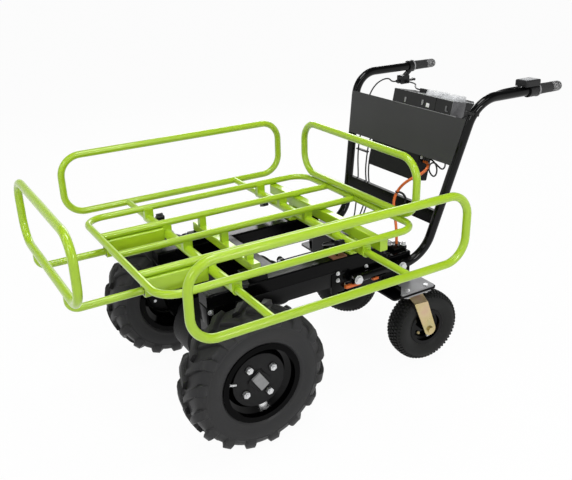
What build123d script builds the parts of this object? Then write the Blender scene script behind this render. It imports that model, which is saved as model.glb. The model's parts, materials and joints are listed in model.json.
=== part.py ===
from build123d import *
from math import atan2, cos, degrees, radians, sin, tan
import os

os.makedirs("parts", exist_ok=True)

# Flat-bed electric cart: two driven front wheels, two swivel casters, a push handle
# and a tube deck with pull-out load rails. Millimetres, +X forward to the load end,
# +Y to the operator's left, +Z up, origin on the floor under the middle of the cart.

# Drive wheels: 4.80-8 lug tyres on 8 inch rims
tyre_radius = 203.0
tyre_width = 122.0
tyre_wall = 9.0
track_width = 576.0
lug_height = 12.0
lug_width = 27.0
lug_sweep = 40.0
lugs_per_side = 16
rim_width = 106.0
rim_lip_radius = 114.0
bead_seat_radius = 101.6
rim_well_radius = 84.0
rim_sheet = 3.0
wheel_disc_radius = 77.0
wheel_disc_depth = 21.0
wheel_bolt_circle = 100.0
wheel_bolt_angle = 35.0
wheel_stud = 10.0
wheel_nut = 17.0
wheel_nut_height = 9.0
cap_length = 56.0
cap_width = 47.0
cap_height = 5.0

# Drive axle with gear case, motor and drum brake
shaft_radius = 15.0
hub_flange_radius = 62.0
hub_flange_thick = 12.0
axle_tube_radius = 30.0
axle_tube_bore = 26.0
gear_case_radius = 82.0
gear_case_width = 130.0
bearing_width = 16.0
motor_behind = 205.0
motor_above = 112.0
motor_radius = 60.0
motor_length = 84.0
motor_fins = 7
brake_drum_radius = 46.0
brake_drum_width = 22.0
brake_arm_length = 105.0
brake_arm_thick = 5.0
brake_arm_width = 18.0
brake_arm_lean = 4.0
wire_eye_length = 12.0
wire_hole_radius = 3.2

# Chassis
beam_height = 85.0
beam_width = 48.0
beam_wall = 3.0
beam_bottom = 328.0
beam_outside = 380.0
beam_front = 75.0
beam_rear = 500.0
rear_box_length = 121.0
rear_box_bottom = 265.0
rear_box_top = 370.0
rear_box_wall = 4.0
plate_thick = 6.0
rear_plate_length = 168.0
rear_plate_margin = 2.0
backing_length = 128.0
cross_member_behind = 137.0
cross_member_length = 75.0
cross_member_height = 30.0
bracket_plate = 6.0
bracket_nose = 42.0

# Casters: pneumatic tyres in zinc plated forks
caster_radius = 118.0
caster_width = 74.0
caster_behind = 607.0
caster_track = 426.0
caster_trail = 47.0
caster_turn_left = -5.6
caster_turn_right = -56.4
caster_rim_radius = 52.0
caster_rim_half = 27.0
caster_lip = 8.0
caster_wall = 8.0
caster_hub_radius = 17.0
caster_plate_length = 108.0
caster_plate_width = 90.0
caster_plate_ahead = 10.0
caster_bolt_radius = 4.0
caster_bolts_long = 72.0
caster_bolts_wide = 70.0
caster_race_height = 10.0
caster_race_radius = 30.0
fork_sheet = 5.0
fork_gap = 4.0
fork_crown_length = 46.0
fork_shoulder = 20.0
fork_foot_radius = 20.0
kingpin_radius = 6.0
caster_axle_radius = 6.0

# Load deck
deck_lift = 90.0
deck_front = 238.0
deck_rear = 541.0
deck_width = 602.0
deck_corner = 60.0
deck_tube = 20.0
bar_spacing = 148.0
receiver_drop = 33.0
receiver_tube = 28.0
front_receiver_ahead = 38.0
rear_receiver_behind = 362.0
front_mount_behind = 78.0
front_mount_size = 26.0
front_mount_width = 376.0
rear_mount_behind = 420.0
rear_mount_length = 26.0
rear_mount_height = 33.0
post_size = 30.0
saddle_length = 74.0
saddle_height = 29.0

# Load rails
rail_tube = 22.0
rod_tube = 20.0
rail_corner = 65.0
side_rail_out = 479.0
side_rail_front = 242.0
side_rail_rear = 547.0
side_rail_rise = 154.0
side_rod_grip = 86.0
front_rail_ahead = 413.0
front_rail_width = 524.0
front_rail_rise = 179.0
front_rod_drop = 45.0
front_rod_spacing = 296.0
front_rod_grip = 74.0
front_rod_bend = 26.0
front_box_width = 32.0
front_box_height = 50.0
front_box_wall = 3.0
bush_length = 24.0
rear_rail_width = 576.0
rear_rail_rise = 192.0
lock_knob_radius = 15.0
lock_knob_length = 20.0
lock_screw_radius = 4.0
front_lock_out = 272.0
rear_lock_out = 215.0

# Handle
handle_tube = 28.0
handle_wall = 2.5
handle_low_z = 343.0
handle_low_front = 385.0
handle_heel = 655.0
handle_top_x = 757.0
handle_top_y = 279.0
handle_top_z = 833.0
handle_low_bend = 95.0
handle_top_bend = 90.0
grip_reach = 1100.0
grip_length = 104.0
grip_radius = 16.0
grip_bar = 22.0
cross_bar_height = 42.0
cross_bar_depth = 20.0
cross_bar_up = 135.0
panel_thick = 2.0
panel_low = 303.0
panel_high = 442.0

# Control and battery housings on the panel
battery_box_right = 62.0
battery_box_left = 204.0
battery_box_low = 352.0
battery_box_high = 482.0
battery_box_depth = 92.0
battery_box_wall = 3.0
battery_gap = 6.0
cover_height = 16.0
cover_wall = 2.5
cover_start = 48.0
controller_right = 120.0
controller_left = 112.0
controller_low = 221.0
controller_high = 330.0
controller_depth = 52.0
display_length = 62.0
display_width = 46.0
display_height = 18.0
clamp_length = 34.0
clamp_wall = 5.0

hinge_radius = 4.0
hinge_pin = 1.8
hinge_span = 130.0
hinge_knuckle = 30.0
dome_margin = 14.0
battery_headroom = 14.0
connector_out = 30.0
connector_back = 30.0
connector_width = 26.0
connector_depth = 16.0
connector_height = 14.0
entry_up = 408.0
entry_back = 20.0
entry_radius = 5.0
controller_ribs = 12
controller_rib_depth = 9.0
lead_back = 12.0
lead_rows = (317.0, 301.0)
gland_radius = 6.0
gland_length = 8.0
loop_back = 14.0
loop_up = 296.0
loop_end_up = 300.0
supply_back = 10.0
supply_up = 284.0
grip_end = 6.0
grip_flange = 3.0
grip_taper = 1.5
perch_behind = 987.0
perch_length = 16.0
perch_stem = 14.0
perch_block_length = 39.0
perch_block_height = 30.0
perch_web = 4.5
perch_bridge = 6.0
barrel_radius = 5.0
barrel_length = 18.0
barrel_drop = 4.0
lever_behind = 961.0
lever_below = 44.0
lever_length = 48.0
lever_tip_drop = 5.0
lever_width = 14.0
lever_thick = 6.0
lever_eye = 9.0
lever_pin = 3.0
cheek_thick = 4.0

# Bolts and cables
handle_bolt = 12.0
handle_bolt_front = 398.0
handle_bolt_rear = 562.0
bracket_bolt = 10.0
bracket_bolt_ahead = 50.0
bracket_bolt_drop = 14.0
bracket_bolt_pitch = 24.0
foot_bolt = 8.0
foot_bolt_spacing = 42.0
cable_diameter = 5.0
lead_diameter = 5.0
motor_lead_diameter = 9.0
rear_gland_rows = (166.0, 150.0, 134.0)
rear_gland_z = 340.0
front_gland_y = -58.0
front_gland_z = 346.0
motor_gland_behind = 604.0
motor_gland_y = 138.0
cable_stop_length = 14.0
cable_stop_thick = 4.0
cable_stop_foot = 24.0

# Clearances
running = 0.06
seat_gap = 0.3
bolt_gap = 0.3

# Places that follow from the sizes above
front_reach = front_rail_ahead + rail_tube / 2
axle_x = (grip_reach - front_reach) / 2
axle_z = tyre_radius
wheel_y = track_width / 2
beam_top = beam_bottom + beam_height
beam_y = beam_outside / 2
deck_y = deck_width / 2
deck_height = beam_top + deck_lift
receiver_height = deck_height - receiver_drop
front_rod_height = deck_height - front_rod_drop
side_rail_top = deck_height + side_rail_rise
front_rail_top = deck_height + front_rail_rise
rear_rail_top = deck_height + rear_rail_rise
handle_low_y = beam_y + handle_tube / 2
handle_rise = handle_top_z - handle_low_z
handle_lean = degrees(atan2(handle_top_x - handle_heel, handle_rise))
handle_splay = (handle_top_y - handle_low_y) / handle_rise
deck_under = deck_height - deck_tube / 2
caster_y = caster_track / 2
rear_plate_width = caster_track + caster_plate_width + 2 * rear_plate_margin
rear_plate_bottom = rear_box_bottom - plate_thick
mount_bottom = rear_plate_bottom - plate_thick


def fore(distance):
    """X of a point that is so far ahead of the drive axle."""
    return axle_x + distance


def aft(distance):
    """X of a point that is so far behind the drive axle."""
    return axle_x - distance


caster_x = aft(caster_behind)
caster_plate_x = caster_x + caster_plate_ahead
rear_gland_x = aft(beam_rear + rear_box_length) - gland_length
motor_gland_x = aft(motor_gland_behind)
lead_on_tube = handle_top_z + handle_tube / 2 + lead_diameter / 2 + seat_gap

# Every bolt: the plane under its head, its thread size and its grip
bolt_places = []
for side in (-1, 1):
    handle_face = side * (handle_low_y + handle_tube / 2)
    for behind in (handle_bolt_front, handle_bolt_rear):
        place = Plane((aft(behind), handle_face, handle_low_z), x_dir=(1, 0, 0), z_dir=(0, side, 0))
        bolt_places.append((place, handle_bolt, handle_tube + beam_wall))
    for drop in (bracket_bolt_drop, bracket_bolt_drop + bracket_bolt_pitch):
        place = Plane(
            (fore(bracket_bolt_ahead), side * beam_y, beam_bottom - drop),
            x_dir=(1, 0, 0),
            z_dir=(0, side, 0),
        )
        bolt_places.append((place, bracket_bolt, bracket_plate))
    for along_foot in (-foot_bolt_spacing / 2, foot_bolt_spacing / 2):
        foot_x = aft(rear_mount_behind) + along_foot
        place = Plane((foot_x, side * (beam_y - beam_width / 2), beam_top + plate_thick))
        bolt_places.append((place, foot_bolt, plate_thick + beam_wall))
    # Caster bolts: the inner ones on the rear plate, the outer ones on the backing plate
    for long in (-caster_bolts_long / 2, caster_bolts_long / 2):
        for wide, plates in ((-caster_bolts_wide / 2, 2), (caster_bolts_wide / 2, 3)):
            head = mount_bottom + plates * plate_thick
            place = Plane((caster_plate_x + long, side * (caster_y + wide), head))
            bolt_places.append((place, 2 * caster_bolt_radius, plates * plate_thick + 5))


with BuildPart() as bolt_holes:
    for place, size, grip in bolt_places:
        with BuildSketch(place):
            Circle(size / 2 + bolt_gap)
        extrude(amount=-grip - 1)


def save(piece, name):
    """Label a finished piece and write it."""
    piece.part.label = name
    export_step(piece.part, f"parts/{name}.step")


def save_pair(piece, name):
    """Write the left piece and its mirror image on the right."""
    save(piece, f"{name}_left")
    with BuildPart() as twin:
        mirror(piece.part, about=Plane.XZ)
    save(twin, f"{name}_right")


def round_tube(points, bends, diameter, bore=0.0, close=False):
    """Tube along straight runs that tangent bends join."""
    with BuildPart() as tube:
        with BuildLine() as path:
            FilletPolyline(*points, radius=bends, close=close)
        with BuildSketch(path.line ^ 0):
            Circle(diameter / 2)
            if bore:
                Circle(bore / 2, mode=Mode.SUBTRACT)
        sweep()
    return tube


def easy_bends(points):
    """The largest bends that the runs of a route leave room for."""
    radii = []
    for before, here, after in zip(points, points[1:], points[2:]):
        first = Vector(*here) - Vector(*before)
        second = Vector(*after) - Vector(*here)
        turn = radians(first.get_angle(second))
        radii.append(0.45 * min(first.length, second.length) / tan(turn / 2))
    return radii


def lead(points, diameter):
    """Cable along a route of hand-chosen points."""
    return round_tube(points, easy_bends(points), diameter)


# Drive wheels. Sections are drawn beside the wheel's centre: first the distance
# outward from the centre plane, then the radius.
wheel_section = Plane((axle_x, wheel_y, axle_z), x_dir=(0, 1, 0), z_dir=(1, 0, 0))
axle_axis = Axis((axle_x, 0, axle_z), (0, 1, 0))
rim_half = rim_width / 2
disc_face = rim_half - wheel_disc_depth
bead_half = rim_half - rim_sheet - seat_gap
bead_radius = bead_seat_radius + seat_gap
tyre_half = tyre_width / 2
tread_radius = tyre_radius - lug_height
shoulder = (tyre_half * 0.82, tread_radius - 9)
bulge = (tyre_half - 1.5, (bead_radius + tread_radius) / 2 + 4)
wheel_face = Plane((axle_x, wheel_y + disc_face, axle_z), x_dir=(-1, 0, 0), z_dir=(0, 1, 0))


def flipped(point):
    """The same point on the other half of a section."""
    return (-point[0], point[1])


with BuildPart() as lug:
    # One bar of the tread, cut from a ring over the carcass
    with BuildSketch(wheel_section):
        with BuildLine():
            Polyline(
                (3, tread_radius - 3),
                (3, tyre_radius),
                (tyre_half * 0.62, tyre_radius),
                (tyre_half * 0.93, tyre_radius - 11),
                (tyre_half, tyre_radius - 40),
                (tyre_half - 6, tyre_radius - 42),
                (shoulder[0] - 4, shoulder[1] - 3),
                close=True,
            )
        make_face()
    revolve(axis=axle_axis)
    with BuildSketch(Plane((axle_x, wheel_y, axle_z))):
        sweep_back = tyre_half * tan(radians(lug_sweep))
        with BuildLine():
            Polyline(
                (lug_width * 0.36, 3),
                (-lug_width * 0.36, 3),
                (-lug_width / 2 - sweep_back * 0.8, tyre_half * 0.7),
                (-lug_width * 0.62 - sweep_back * 0.95, tyre_half + 2),
                (lug_width * 0.62 - sweep_back * 0.95, tyre_half + 2),
                (lug_width / 2 - sweep_back * 0.8, tyre_half * 0.7),
                close=True,
            )
        make_face()
    extrude(amount=tyre_radius + 10, mode=Mode.INTERSECT)

with BuildPart() as tyre:
    with BuildSketch(wheel_section):
        with BuildLine():
            heel = (bead_half, bead_radius)
            flank = (bead_half, rim_lip_radius + 2)
            toe = (bead_half - tyre_wall - 2, bead_radius)
            inner = (shoulder[0] - tyre_wall, shoulder[1] - tyre_wall)
            Line(heel, flank)
            ThreePointArc(flank, bulge, shoulder)
            ThreePointArc(shoulder, (0, tread_radius), flipped(shoulder))
            ThreePointArc(flipped(shoulder), flipped(bulge), flipped(flank))
            Polyline(flipped(flank), flipped(heel), flipped(toe))
            ThreePointArc(flipped(toe), (tyre_wall - bulge[0], bulge[1]), flipped(inner))
            ThreePointArc(flipped(inner), (0, tread_radius - tyre_wall), inner)
            ThreePointArc(inner, (bulge[0] - tyre_wall, bulge[1]), toe)
            Line(toe, heel)
        make_face()
    revolve(axis=axle_axis)
    lug_pitch = 360 / lugs_per_side
    inner_lug = lug.part.mirror(Plane.XZ.offset(-wheel_y))
    bars = [lug.part.rotate(axle_axis, turn * lug_pitch) for turn in range(lugs_per_side)]
    bars += [inner_lug.rotate(axle_axis, (turn + 0.5) * lug_pitch) for turn in range(lugs_per_side)]
    add(bars)
save_pair(tyre, "tyre")

with BuildPart() as rim:
    half_sheet = rim_sheet / 2
    lip = (rim_half - half_sheet, rim_lip_radius)
    flange_foot = (rim_half - half_sheet, bead_seat_radius - half_sheet)
    seat_end = (rim_half * 0.62, bead_seat_radius - half_sheet)
    well_end = (rim_half * 0.42, rim_well_radius)
    skirt = wheel_disc_radius - half_sheet
    with BuildSketch(wheel_section):
        with BuildLine():
            Polyline(
                lip,
                flange_foot,
                seat_end,
                well_end,
                flipped(well_end),
                flipped(seat_end),
                flipped(flange_foot),
                flipped(lip),
            )
        trace(line_width=rim_sheet)
        with BuildLine():
            Polyline(
                (2, rim_well_radius),
                (disc_face * 0.4, skirt),
                (disc_face - half_sheet, skirt),
                (disc_face - half_sheet, shaft_radius + bolt_gap),
            )
        trace(line_width=rim_sheet)
    revolve(axis=axle_axis)
    with BuildSketch(wheel_face):
        with Locations((0, 0)):
            RectangleRounded(cap_width, cap_length, 6, rotation=wheel_bolt_angle + 10)
    extrude(amount=cap_height)
    with Locations(wheel_face):
        with PolarLocations(wheel_bolt_circle / 2, 4, start_angle=wheel_bolt_angle):
            Cylinder(wheel_stud / 2 + bolt_gap, 4 * rim_sheet, mode=Mode.SUBTRACT)
save_pair(rim, "rim")

with BuildPart() as hub_shaft:
    flange_y = wheel_y + disc_face - rim_sheet
    with BuildSketch(Plane((axle_x, 0, axle_z), x_dir=(0, 1, 0), z_dir=(1, 0, 0))):
        with BuildLine():
            Polyline(
                (gear_case_width * 0.04, 0),
                (gear_case_width * 0.04, shaft_radius),
                (flange_y - hub_flange_thick - 26, shaft_radius),
                (flange_y - hub_flange_thick - 24, shaft_radius + 13),
                (flange_y - hub_flange_thick, shaft_radius + 15),
                (flange_y - hub_flange_thick, hub_flange_radius),
                (flange_y, hub_flange_radius),
                (flange_y, shaft_radius),
                (flange_y + rim_sheet, shaft_radius),
                (flange_y + rim_sheet, 0),
                close=True,
            )
        make_face()
    revolve(axis=axle_axis)
    with Locations(wheel_face):
        with PolarLocations(wheel_bolt_circle / 2, 4, start_angle=wheel_bolt_angle):
            Cylinder(wheel_stud / 2, 4 * hub_flange_thick, mode=Mode.SUBTRACT)
save_pair(hub_shaft, "hub_shaft")

with BuildPart() as wheel_nuts:
    with BuildSketch(wheel_face):
        with PolarLocations(wheel_bolt_circle / 2, 4, start_angle=wheel_bolt_angle):
            RegularPolygon(wheel_nut / 2, 6, major_radius=False)
    extrude(amount=wheel_nut_height)
    with BuildSketch(wheel_face.offset(-rim_sheet - hub_flange_thick)):
        with PolarLocations(wheel_bolt_circle / 2, 4, start_angle=wheel_bolt_angle):
            Circle(wheel_stud / 2)
    extrude(amount=rim_sheet + hub_flange_thick + wheel_nut_height + 4)
save_pair(wheel_nuts, "wheel_nuts")

# Drive axle: gear case and axle tubes in one casting, motor and brake behind it
motor_x = aft(motor_behind)
motor_z = axle_z + motor_above
motor_axis = Axis((motor_x, 0, motor_z), (0, 1, 0))
tube_end = beam_y + plate_thick
case_half = gear_case_width / 2
bracket_inside = beam_y - beam_width

with BuildPart() as axle_housing:
    with BuildSketch(Plane((axle_x, 0, axle_z), x_dir=(0, 1, 0), z_dir=(1, 0, 0))):
        with BuildLine():
            Polyline(
                (-tube_end, 0),
                (-tube_end, axle_tube_radius + 10),
                (-beam_y, axle_tube_radius + 10),
                (-beam_y, axle_tube_radius),
                (-case_half - 34, axle_tube_radius),
                (-case_half, gear_case_radius * 0.86),
                (-case_half + 14, gear_case_radius),
                (case_half - 14, gear_case_radius),
                (case_half, gear_case_radius * 0.86),
                (case_half + 34, axle_tube_radius),
                (beam_y, axle_tube_radius),
                (beam_y, axle_tube_radius + 10),
                (tube_end, axle_tube_radius + 10),
                (tube_end, 0),
                close=True,
            )
        make_face()
    revolve(axis=axle_axis)
    # Reduction case that reaches up to the motor
    with BuildSketch(Plane((axle_x, 0, axle_z), x_dir=(1, 0, 0), z_dir=(0, -1, 0))):
        Circle(gear_case_radius * 0.8)
        with Locations((-motor_behind, motor_above)):
            Circle(motor_radius * 0.92)
        make_hull()
    extrude(amount=case_half - 14)
    with BuildSketch(Plane((axle_x, -tube_end, axle_z), x_dir=(1, 0, 0), z_dir=(0, -1, 0))):
        Circle(shaft_radius + 1)
    extrude(amount=-2 * tube_end, mode=Mode.SUBTRACT)
    for side in (-1, 1):
        with BuildSketch(Plane((axle_x, side * tube_end, axle_z), x_dir=(1, 0, 0), z_dir=(0, -side, 0))):
            Circle(axle_tube_bore)
        extrude(amount=tube_end - case_half - 20, mode=Mode.SUBTRACT)
save(axle_housing, "axle_housing")

with BuildPart() as axle_bearings:
    for side in (-1, 1):
        with BuildSketch(Plane((axle_x, side * tube_end, axle_z), x_dir=(1, 0, 0), z_dir=(0, -side, 0))):
            Circle(axle_tube_bore)
            Circle(shaft_radius + running, mode=Mode.SUBTRACT)
        extrude(amount=bearing_width)
save(axle_bearings, "axle_bearings")

with BuildPart() as drive_motor:
    with BuildSketch(Plane((motor_x, 0, motor_z), x_dir=(0, 1, 0), z_dir=(1, 0, 0))):
        with BuildLine():
            Polyline(
                (0, 0),
                (0, motor_radius * 0.9),
                (6, motor_radius),
                (motor_length - 10, motor_radius),
                (motor_length - 4, motor_radius * 0.86),
                (motor_length, motor_radius * 0.6),
                (motor_length, 0),
                close=True,
            )
        make_face()
    revolve(axis=motor_axis)
    # Cooling grooves round the body
    groove_pitch = (motor_length - 26) / motor_fins
    for groove in range(motor_fins):
        groove_y = 12 + (groove + 0.5) * groove_pitch
        with BuildSketch(Plane((motor_x, groove_y, motor_z), x_dir=(1, 0, 0), z_dir=(0, 1, 0))):
            Circle(motor_radius + 1)
            Circle(motor_radius - 3, mode=Mode.SUBTRACT)
        extrude(amount=groove_pitch * 0.4, mode=Mode.SUBTRACT)
save(drive_motor, "drive_motor")

with BuildPart() as brake_drum:
    with BuildSketch(Plane((motor_x, motor_length, motor_z), x_dir=(0, 1, 0), z_dir=(1, 0, 0))):
        with BuildLine():
            Polyline(
                (0, 0),
                (0, brake_drum_radius * 0.7),
                (2, brake_drum_radius),
                (brake_drum_width - 3, brake_drum_radius),
                (brake_drum_width, brake_drum_radius * 0.9),
                (brake_drum_width, kingpin_radius),
                (brake_drum_width + brake_arm_thick + 4, kingpin_radius),
                (brake_drum_width + brake_arm_thick + 4, 0),
                close=True,
            )
        make_face()
    revolve(axis=motor_axis)
save(brake_drum, "brake_drum")

brake_arm_y = motor_length + brake_drum_width + seat_gap
brake_tip_x = motor_x + brake_arm_length * sin(radians(brake_arm_lean))
brake_tip_z = motor_z + brake_arm_length * cos(radians(brake_arm_lean))
wire_out = brake_arm_thick + wire_hole_radius + 2.8
wire_y = brake_arm_y + wire_out
stop_x = aft(rear_receiver_behind) + receiver_tube / 2
stop_plane = Plane((stop_x, wire_y, brake_tip_z), x_dir=(0, -1, 0), z_dir=(-1, 0, 0))

with BuildPart() as brake_arm:
    arm_plane = Plane((motor_x, brake_arm_y, motor_z), x_dir=(-1, 0, 0), z_dir=(0, 1, 0))
    with BuildSketch(arm_plane):
        Circle(brake_arm_width / 2 + 4)
        with Locations((motor_x - brake_tip_x, brake_tip_z - motor_z)):
            Circle(brake_arm_width / 2)
        make_hull()
        Circle(kingpin_radius + running, mode=Mode.SUBTRACT)
    extrude(amount=brake_arm_thick)
    # Eye at the tip for the brake wire
    eye_start = brake_tip_x - wire_eye_length / 2
    with BuildSketch(Plane((eye_start, brake_arm_y, brake_tip_z), x_dir=(0, 1, 0), z_dir=(1, 0, 0))):
        with Locations((wire_out, 0)):
            Rectangle(2 * wire_hole_radius + 7, 2 * wire_hole_radius + 6)
    extrude(amount=wire_eye_length)
    with BuildSketch(Plane((eye_start, brake_arm_y, brake_tip_z), x_dir=(0, 1, 0), z_dir=(1, 0, 0))):
        with Locations((wire_out, 0)):
            Circle(wire_hole_radius)
    extrude(amount=wire_eye_length, mode=Mode.SUBTRACT)
save(brake_arm, "brake_arm")

# Chassis: two box beams, a box at the rear, a cross member and axle brackets
with BuildPart() as frame_beams:
    for side in (-1, 1):
        middle = side * (beam_y - beam_width / 2)
        beam_end = (aft(beam_rear), middle, beam_bottom + beam_height / 2)
        beam_section = Plane(beam_end, x_dir=(0, 1, 0), z_dir=(1, 0, 0))
        with BuildSketch(beam_section):
            RectangleRounded(beam_width, beam_height, 5)
        extrude(amount=beam_rear + beam_front)
        with BuildSketch(beam_section):
            RectangleRounded(beam_width - 2 * beam_wall, beam_height - 2 * beam_wall, 2)
        extrude(amount=beam_rear + beam_front - beam_wall, mode=Mode.SUBTRACT)
    # Stop for the brake cable, on a plate that stands on the left beam
    stop_foot_y = beam_y - beam_width / 2
    with BuildSketch(stop_plane):
        Circle(wire_hole_radius + 5)
        with Locations((wire_y - stop_foot_y, beam_top - brake_tip_z + 4)):
            Rectangle(cable_stop_foot, 10)
        make_hull()
    extrude(amount=cable_stop_thick)
    with BuildSketch(stop_plane):
        Circle(wire_hole_radius + 2)
    extrude(amount=cable_stop_length)
    add(bolt_holes.part, mode=Mode.SUBTRACT)
save(frame_beams, "frame_beams")

with BuildPart() as axle_brackets:
    for side in (-1, 1):
        for face in (beam_y - bracket_plate, beam_y - beam_width):
            start = side * (face if side > 0 else face + bracket_plate)
            with BuildSketch(Plane((axle_x, start, axle_z), x_dir=(-1, 0, 0), z_dir=(0, 1, 0))):
                Circle(bracket_nose)
                with Locations((0, beam_bottom - axle_z - 10)):
                    Rectangle(2 * beam_front, 20)
                make_hull()
                Circle(axle_tube_radius, mode=Mode.SUBTRACT)
            extrude(amount=bracket_plate)
        # Front web between the two plates
        web_x = fore(beam_front - bracket_plate / 2)
        with Locations((web_x, side * (beam_y - beam_width / 2), beam_bottom - 25)):
            Box(bracket_plate, beam_width, 50)
    add(bolt_holes.part, mode=Mode.SUBTRACT)
save(axle_brackets, "axle_brackets")

with BuildPart() as cross_member:
    cross_end = (aft(cross_member_behind), -bracket_inside, beam_top - cross_member_height / 2)
    cross_inside = (cross_member_length - 2 * beam_wall, cross_member_height - 2 * beam_wall)
    with BuildSketch(Plane(cross_end, x_dir=(1, 0, 0), z_dir=(0, 1, 0))):
        RectangleRounded(cross_member_length, cross_member_height, 4)
        RectangleRounded(*cross_inside, 2, mode=Mode.SUBTRACT)
    extrude(amount=2 * bracket_inside)
save(cross_member, "cross_member")

with BuildPart() as rear_box:
    box_middle = aft(beam_rear + rear_box_length / 2)
    with BuildSketch(Plane((box_middle, 0, rear_box_bottom))):
        RectangleRounded(rear_box_length, beam_outside, 8)
    extrude(amount=rear_box_top - rear_box_bottom)
    fillet(rear_box.edges().group_by(Axis.Z)[-1], 5)
    with BuildSketch(Plane((box_middle, 0, rear_box_bottom))):
        RectangleRounded(rear_box_length - 2 * rear_box_wall, beam_outside - 2 * rear_box_wall, 4)
    extrude(amount=rear_box_top - rear_box_bottom - rear_box_wall, mode=Mode.SUBTRACT)
    # Cable glands on the back, the front and the top
    box_rear = (aft(beam_rear + rear_box_length), 0, rear_gland_z)
    with BuildSketch(Plane(box_rear, x_dir=(0, 1, 0), z_dir=(-1, 0, 0))):
        with Locations(*[(-row, 0) for row in rear_gland_rows]):
            Circle(gland_radius)
    extrude(amount=gland_length)
    with BuildSketch(Plane((aft(beam_rear), front_gland_y, front_gland_z), x_dir=(0, 1, 0), z_dir=(1, 0, 0))):
        Circle(gland_radius)
    extrude(amount=gland_length)
    with BuildSketch(Plane((motor_gland_x, motor_gland_y, rear_box_top))):
        Circle(gland_radius + 2)
    extrude(amount=gland_length)
    add(bolt_holes.part, mode=Mode.SUBTRACT)
save(rear_box, "rear_box")

with BuildPart() as rear_plate:
    rear_plate_x = aft(beam_rear + rear_plate_length / 2)
    with BuildSketch(Plane((0, 0, rear_plate_bottom))):
        with Locations((rear_plate_x, 0)):
            RectangleRounded(rear_plate_length, rear_plate_width, 10)
        with Locations((caster_plate_x, caster_y), (caster_plate_x, -caster_y)):
            with GridLocations(caster_bolts_long, caster_bolts_wide, 2, 2):
                Circle(caster_bolt_radius + bolt_gap, mode=Mode.SUBTRACT)
        with Locations((caster_x, caster_y), (caster_x, -caster_y)):
            Circle(kingpin_radius + 6, mode=Mode.SUBTRACT)
    extrude(amount=plate_thick)
save(rear_plate, "rear_plate")

with BuildPart() as saddle_blocks:
    for side in (-1, 1):
        with BuildSketch(Plane((aft(front_mount_behind), side * (beam_y - beam_width / 2), beam_top))):
            RectangleRounded(saddle_length, beam_width - 8, 4)
        extrude(amount=saddle_height)
save(saddle_blocks, "saddle_blocks")

# Casters. Each is drawn about its swivel axis with the wheel trailing, then turned.
crown_top = mount_bottom - caster_race_height
crown_bottom = crown_top - fork_sheet
leg_inside = caster_width / 2 + fork_gap
hub_half = leg_inside - 1
caster_section = Plane((-caster_trail, 0, caster_radius), x_dir=(0, 1, 0), z_dir=(1, 0, 0))
caster_wheel_axis = Axis((-caster_trail, 0, caster_radius), (0, 1, 0))

with BuildPart() as caster_mount:
    with BuildSketch(Plane((0, 0, mount_bottom))):
        with Locations((caster_plate_ahead, 0)):
            RectangleRounded(caster_plate_length, caster_plate_width, 8)
            with GridLocations(caster_bolts_long, caster_bolts_wide, 2, 2):
                Circle(caster_bolt_radius + bolt_gap, mode=Mode.SUBTRACT)
        Circle(kingpin_radius + running, mode=Mode.SUBTRACT)
    extrude(amount=plate_thick)
    with BuildSketch(Plane((0, 0, mount_bottom))):
        Circle(caster_race_radius)
        Circle(kingpin_radius + running, mode=Mode.SUBTRACT)
    extrude(amount=-caster_race_height / 2)

leg_middle = leg_inside + fork_sheet / 2
crown_middle = crown_bottom + fork_sheet / 2
with BuildPart() as caster_fork:
    # Sheet bent over two shoulders, then cut to the outline of the legs
    with BuildSketch(Plane((0, 0, 0), x_dir=(0, 1, 0), z_dir=(1, 0, 0))):
        with BuildLine():
            Polyline(
                (-leg_middle, 0),
                (-leg_middle, crown_middle - fork_shoulder),
                (fork_shoulder - leg_middle, crown_middle),
                (leg_middle - fork_shoulder, crown_middle),
                (leg_middle, crown_middle - fork_shoulder),
                (leg_middle, 0),
            )
        trace(line_width=fork_sheet)
    extrude(amount=caster_radius, both=True)
    with BuildSketch(Plane((0, -caster_radius, 0), x_dir=(-1, 0, 0), z_dir=(0, 1, 0))):
        with Locations((0, crown_middle)):
            Rectangle(fork_crown_length, 2 * fork_sheet)
        with Locations((caster_trail, caster_radius)):
            Circle(fork_foot_radius)
        make_hull()
        with Locations((caster_trail, caster_radius)):
            Circle(caster_axle_radius, mode=Mode.SUBTRACT)
    extrude(amount=2 * caster_radius, mode=Mode.INTERSECT)
    # Lower race and the riveted kingpin
    with BuildSketch(Plane((0, 0, crown_top))):
        Circle(caster_race_radius - 2)
    extrude(amount=caster_race_height / 2 - seat_gap)
    with BuildSketch(Plane((0, 0, crown_top))):
        Circle(kingpin_radius)
    extrude(amount=rear_box_bottom - crown_top - seat_gap)

with BuildPart() as caster_axle:
    axle_half = leg_inside + fork_sheet
    with BuildSketch(Plane((-caster_trail, -axle_half - 4, caster_radius), x_dir=(1, 0, 0), z_dir=(0, 1, 0))):
        Circle(caster_axle_radius)
    extrude(amount=2 * axle_half + 8)
    for side in (-1, 1):
        axle_face = (-caster_trail, side * axle_half, caster_radius)
        with BuildSketch(Plane(axle_face, x_dir=(1, 0, 0), z_dir=(0, side, 0))):
            RegularPolygon(caster_axle_radius * 1.55, 6, major_radius=False)
        extrude(amount=7)

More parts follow.
